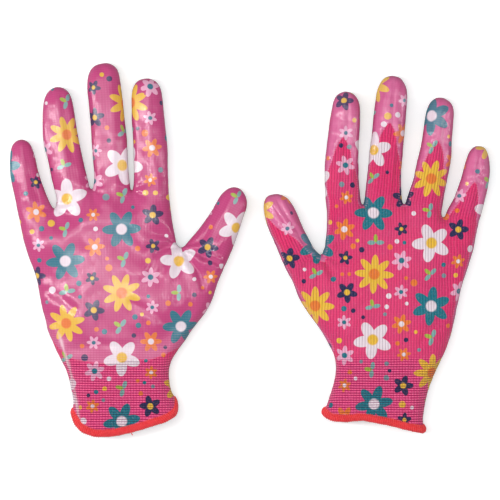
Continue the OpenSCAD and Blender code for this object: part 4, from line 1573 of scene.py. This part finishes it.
def knit_material(group):
    material, net, shader = new_material("knit_liner_print")
    mix, ramp = net.mix, net.ramp
    height, wale, vee, row, cuff = knit_field(net)
    strip = net.attribute("fx")[2]
    inner = net.attribute("inner")[0]
    place = net.object_place()
    melange = net.noise(place, scale=900.0, detail=2.0, roughness=0.6)
    patch = net.noise(place, scale=60.0, detail=3.0)
    broad = net.noise(place, scale=17.0, detail=1.5)
    ground = mix(ramp(patch, 0.3, 0.7), MAGENTA, srgb(220, 52, 114))
    # painted sheen: broad lighter patches at random across the knit
    ground = mix(ramp(broad, 0.42, 0.68, high=0.32), ground, srgb(240, 88, 136))
    ground = mix(cuff, ground, srgb(236, 48, 124))
    # lighter dots along the rows, mostly on the cuff
    dots = ramp(row, 0.1, 0.9) * ramp(wale, 0.1, 0.9, low=0.35)
    ground = mix(dots * (cuff * 0.72 + 0.06), ground, srgb(190, 120, 140), "SCREEN")
    colour = mix(strip, net.printed(group, ground), STRIP_PINK)
    # painted shade: darker colour in the grooves between wales, and between rows on the cuff
    groove_shade = ramp(wale, 0.0, 0.55, low=1.0, high=0.0)
    colour = mix(groove_shade * (0.78 - cuff * 0.42), colour, srgb(192, 168, 182), "MULTIPLY")
    colour = mix(ramp(row, 0.0, -0.9) * (cuff * 0.9), colour, srgb(168, 120, 150), "MULTIPLY")
    # pale flecks of the yarn, and a painted highlight on the stitch crests
    crest_highlight = ramp(wale, 0.72, 1.0) * ramp(vee, -0.2, 0.9)
    fleck = ramp(melange, 0.50, 0.70) * 0.07
    colour = mix(fleck, colour, srgb(246, 190, 206))
    colour = mix(crest_highlight * 0.04, colour, srgb(250, 120, 160))
    colour = mix(inner, colour, srgb(236, 208, 216))
    net.fill(shader, {
        "Base Color": colour, "Roughness": 0.82, "Sheen Weight": 0.25, "Sheen Roughness": 0.5,
        "Specular IOR Level": 0.25,
        "Normal": net.bump(height + melange * 0.25, distance=0.00040, strength=0.9)})
    return material


def dip_material(group):
    material, net, shader = new_material("clear_dip_over_print")
    mix, ramp = net.mix, net.ramp
    height, wale, _, row, _ = knit_field(net)
    strength, back, strip = net.attribute("fx")
    place = net.object_place()
    patch = net.noise(place, scale=45.0, detail=3.0, roughness=0.55)
    fine = net.noise(place, scale=420.0, detail=2.0)
    cover = net.math("MULTIPLY", strength, ramp(patch, 0.2, 0.7, low=0.9), clamp=True)
    x, y, _ = net.attribute("m0")
    streak = net.noise(net.vector(x * 0.22, y * 0.02), scale=1.0, detail=1.2, roughness=0.4)
    # thin and matt near its lower edge; on the back lighter and streaked along the fingers, partly
    # milky film and partly painted sheen
    ground = mix(ramp(cover, 0.0, 0.42), MAGENTA, srgb(206, 88, 136))
    ground = mix(ramp(cover, 0.5, 1.0), ground, srgb(198, 62, 122))
    ground = mix(cover * back * ramp(streak, 0.32, 0.66, low=0.25, high=0.80), ground,
                 srgb(232, 112, 162))
    colour = mix(strip, net.printed(group, ground), STRIP_PINK)
    # milky tint of the film; its extra share on the back is painted light for the brighter backs of
    # the fingers
    milky_tint_and_sheen = cover * (0.02 + back * 0.07 + patch * 0.09)
    colour = mix(milky_tint_and_sheen, colour, srgb(212, 160, 200))
    # stitches showing through the thin film
    thin = row_share = ramp(row, -0.3, 0.9)
    thin = row_share * (ramp(wale, 0.0, 0.6, low=0.55)
                        * ramp(cover, 0.1, 1.0, low=0.36, high=0.04))
    colour = mix(thin, colour, srgb(240, 170, 196))
    # painted shade in the grooves between wales, under thin film
    groove_shade = ramp(wale, 0.0, 0.55, low=1.0, high=0.0)
    colour = mix(groove_shade * ramp(cover, 0.0, 1.0, low=0.18, high=0.05), colour, srgb(150, 20, 80))
    relief = height * ramp(cover, 0.0, 1.0, low=0.8, high=0.20) + fine * 0.12
    relief = relief + streak * cover * (back * 0.8 + 0.2) * 1.6
    net.fill(shader, {
        "Base Color": colour,
        "Roughness": ramp(cover, 0.1, 1.0, low=0.52, high=0.14) + patch * 0.10,
        "Specular IOR Level": 0.5, "IOR": 1.48,
        "Normal": net.bump(relief, distance=0.00032, strength=0.8)})
    return material


def thread_material(name, dark, light):
    material, net, shader = new_material(name)
    fibre = net.noise(net.object_place(), scale=1800.0, detail=2.0, roughness=0.6)
    net.fill(shader, {
        "Base Color": net.mix(net.ramp(fibre, 0.35, 0.68), dark, light),
        "Roughness": 0.78, "Sheen Weight": 0.3,
        "Normal": net.bump(fibre, distance=0.00012, strength=0.7)})
    return material


def make_materials():
    group = print_group()
    return {
        "knit": knit_material(group),
        "dip": dip_material(group),
        "hem": thread_material("hem_core_yarn", srgb(226, 26, 40), srgb(244, 46, 56)),
        "thread": thread_material("overlock_thread", srgb(236, 44, 56), srgb(246, 84, 84)),
        "elastic": thread_material("covered_elastic", srgb(232, 228, 226), srgb(250, 248, 246)),
    }


# ---------------------------------------------------------------- studio (metres)
FLOOR_SIZE = 8.0
FLOOR_GAP = 0.0003          # floor below the lowest CAD point
CAMERA_HEIGHT = 1.9         # above the lowest CAD point
FOCUS_HEIGHT = 0.008        # level at which the view is VIEW_WIDTH wide
VIEW_WIDTH = 0.315
SENSOR = 36.0
# Area lights aimed at the gloves: name, x and y from the centre, z, width, length, power.
LIGHTS = [
    ("strip_left", -0.95, 0.05, 0.62, 0.08, 1.5, 6.6),
    ("strip_right", 0.95, 0.05, 0.66, 0.08, 1.5, 3.4),
    ("strip_over", -0.52, 0.05, 1.25, 0.06, 1.3, 3.4),
    ("top_fill", -0.1, 0.15, 1.6, 1.1, 1.1, 8.2),
    ("front_fill", 0.0, -1.2, 0.9, 1.2, 0.6, 1.4),
]


def make_floor(centre):
    """Floor that looks brighter to the camera than to the light it bounces."""
    material, net, shader = new_material("studio_floor")
    seen = Value(net, net.node("ShaderNodeLightPath").outputs["Is Camera Ray"])
    net.fill(shader, {
        "Base Color": net.mix(seen, (0.42, 0.42, 0.42), (0.80, 0.80, 0.805)),
        "Emission Color": (1, 1, 1), "Emission Strength": seen * 0.42,
        "Roughness": 0.9, "Specular IOR Level": 0.1})
    mesh = bpy.data.meshes.new("studio_floor")
    half = FLOOR_SIZE / 2
    mesh.from_pydata([(-half, -half, 0), (half, -half, 0), (half, half, 0), (-half, half, 0)],
                     [], [(0, 1, 2, 3)])
    mesh.materials.append(material)
    ob = bpy.data.objects.new("studio_floor", mesh)
    ob.location = (centre.x, centre.y, cad_low[2] - FLOOR_GAP)
    SCENE.collection.objects.link(ob)
    return ob


def make_light(centre, name, x, y, z, width, length, power):
    light = bpy.data.lights.new(name, "AREA")
    light.shape = "RECTANGLE"
    light.size, light.size_y = width, length
    light.energy = power
    ob = bpy.data.objects.new(name, light)
    place = Vector((centre.x + x, centre.y + y, z))
    ob.location = place
    aim = Vector((centre.x, centre.y, 0.0)) - place
    ob.rotation_euler = aim.to_track_quat("-Z", "Y").to_euler()
    SCENE.collection.objects.link(ob)
    return ob


def make_world():
    world = bpy.data.worlds.new("soft_world")
    world.use_nodes = True
    background = world.node_tree.nodes["Background"]
    background.inputs["Color"].default_value = (1, 1, 1, 1)
    background.inputs["Strength"].default_value = 0.22
    SCENE.world = world


def make_camera(centre):
    """Camera looking straight down."""
    data = bpy.data.cameras.new("camera")
    ob = bpy.data.objects.new("camera", data)
    SCENE.collection.objects.link(ob)
    ob.location = (centre.x - 0.00097, centre.y - 0.00079, cad_low[2] + CAMERA_HEIGHT)
    ob.rotation_euler = (0, 0, 0)
    data.sensor_width = SENSOR
    data.lens = SENSOR * (CAMERA_HEIGHT - FOCUS_HEIGHT) / VIEW_WIDTH
    data.clip_end = 20.0
    SCENE.camera = ob
    return ob


# ---------------------------------------------------------------- build
glove_materials = make_materials()
for glove_key in "ab":
    build_glove(glove_key, glove_materials)

cad_centre = (Vector(cad_low) + Vector(cad_high)) / 2
floor = make_floor(cad_centre)
lights = [make_light(cad_centre, *row) for row in LIGHTS]
make_world()
camera = make_camera(cad_centre)
SCENE.view_settings.view_transform = "Standard"
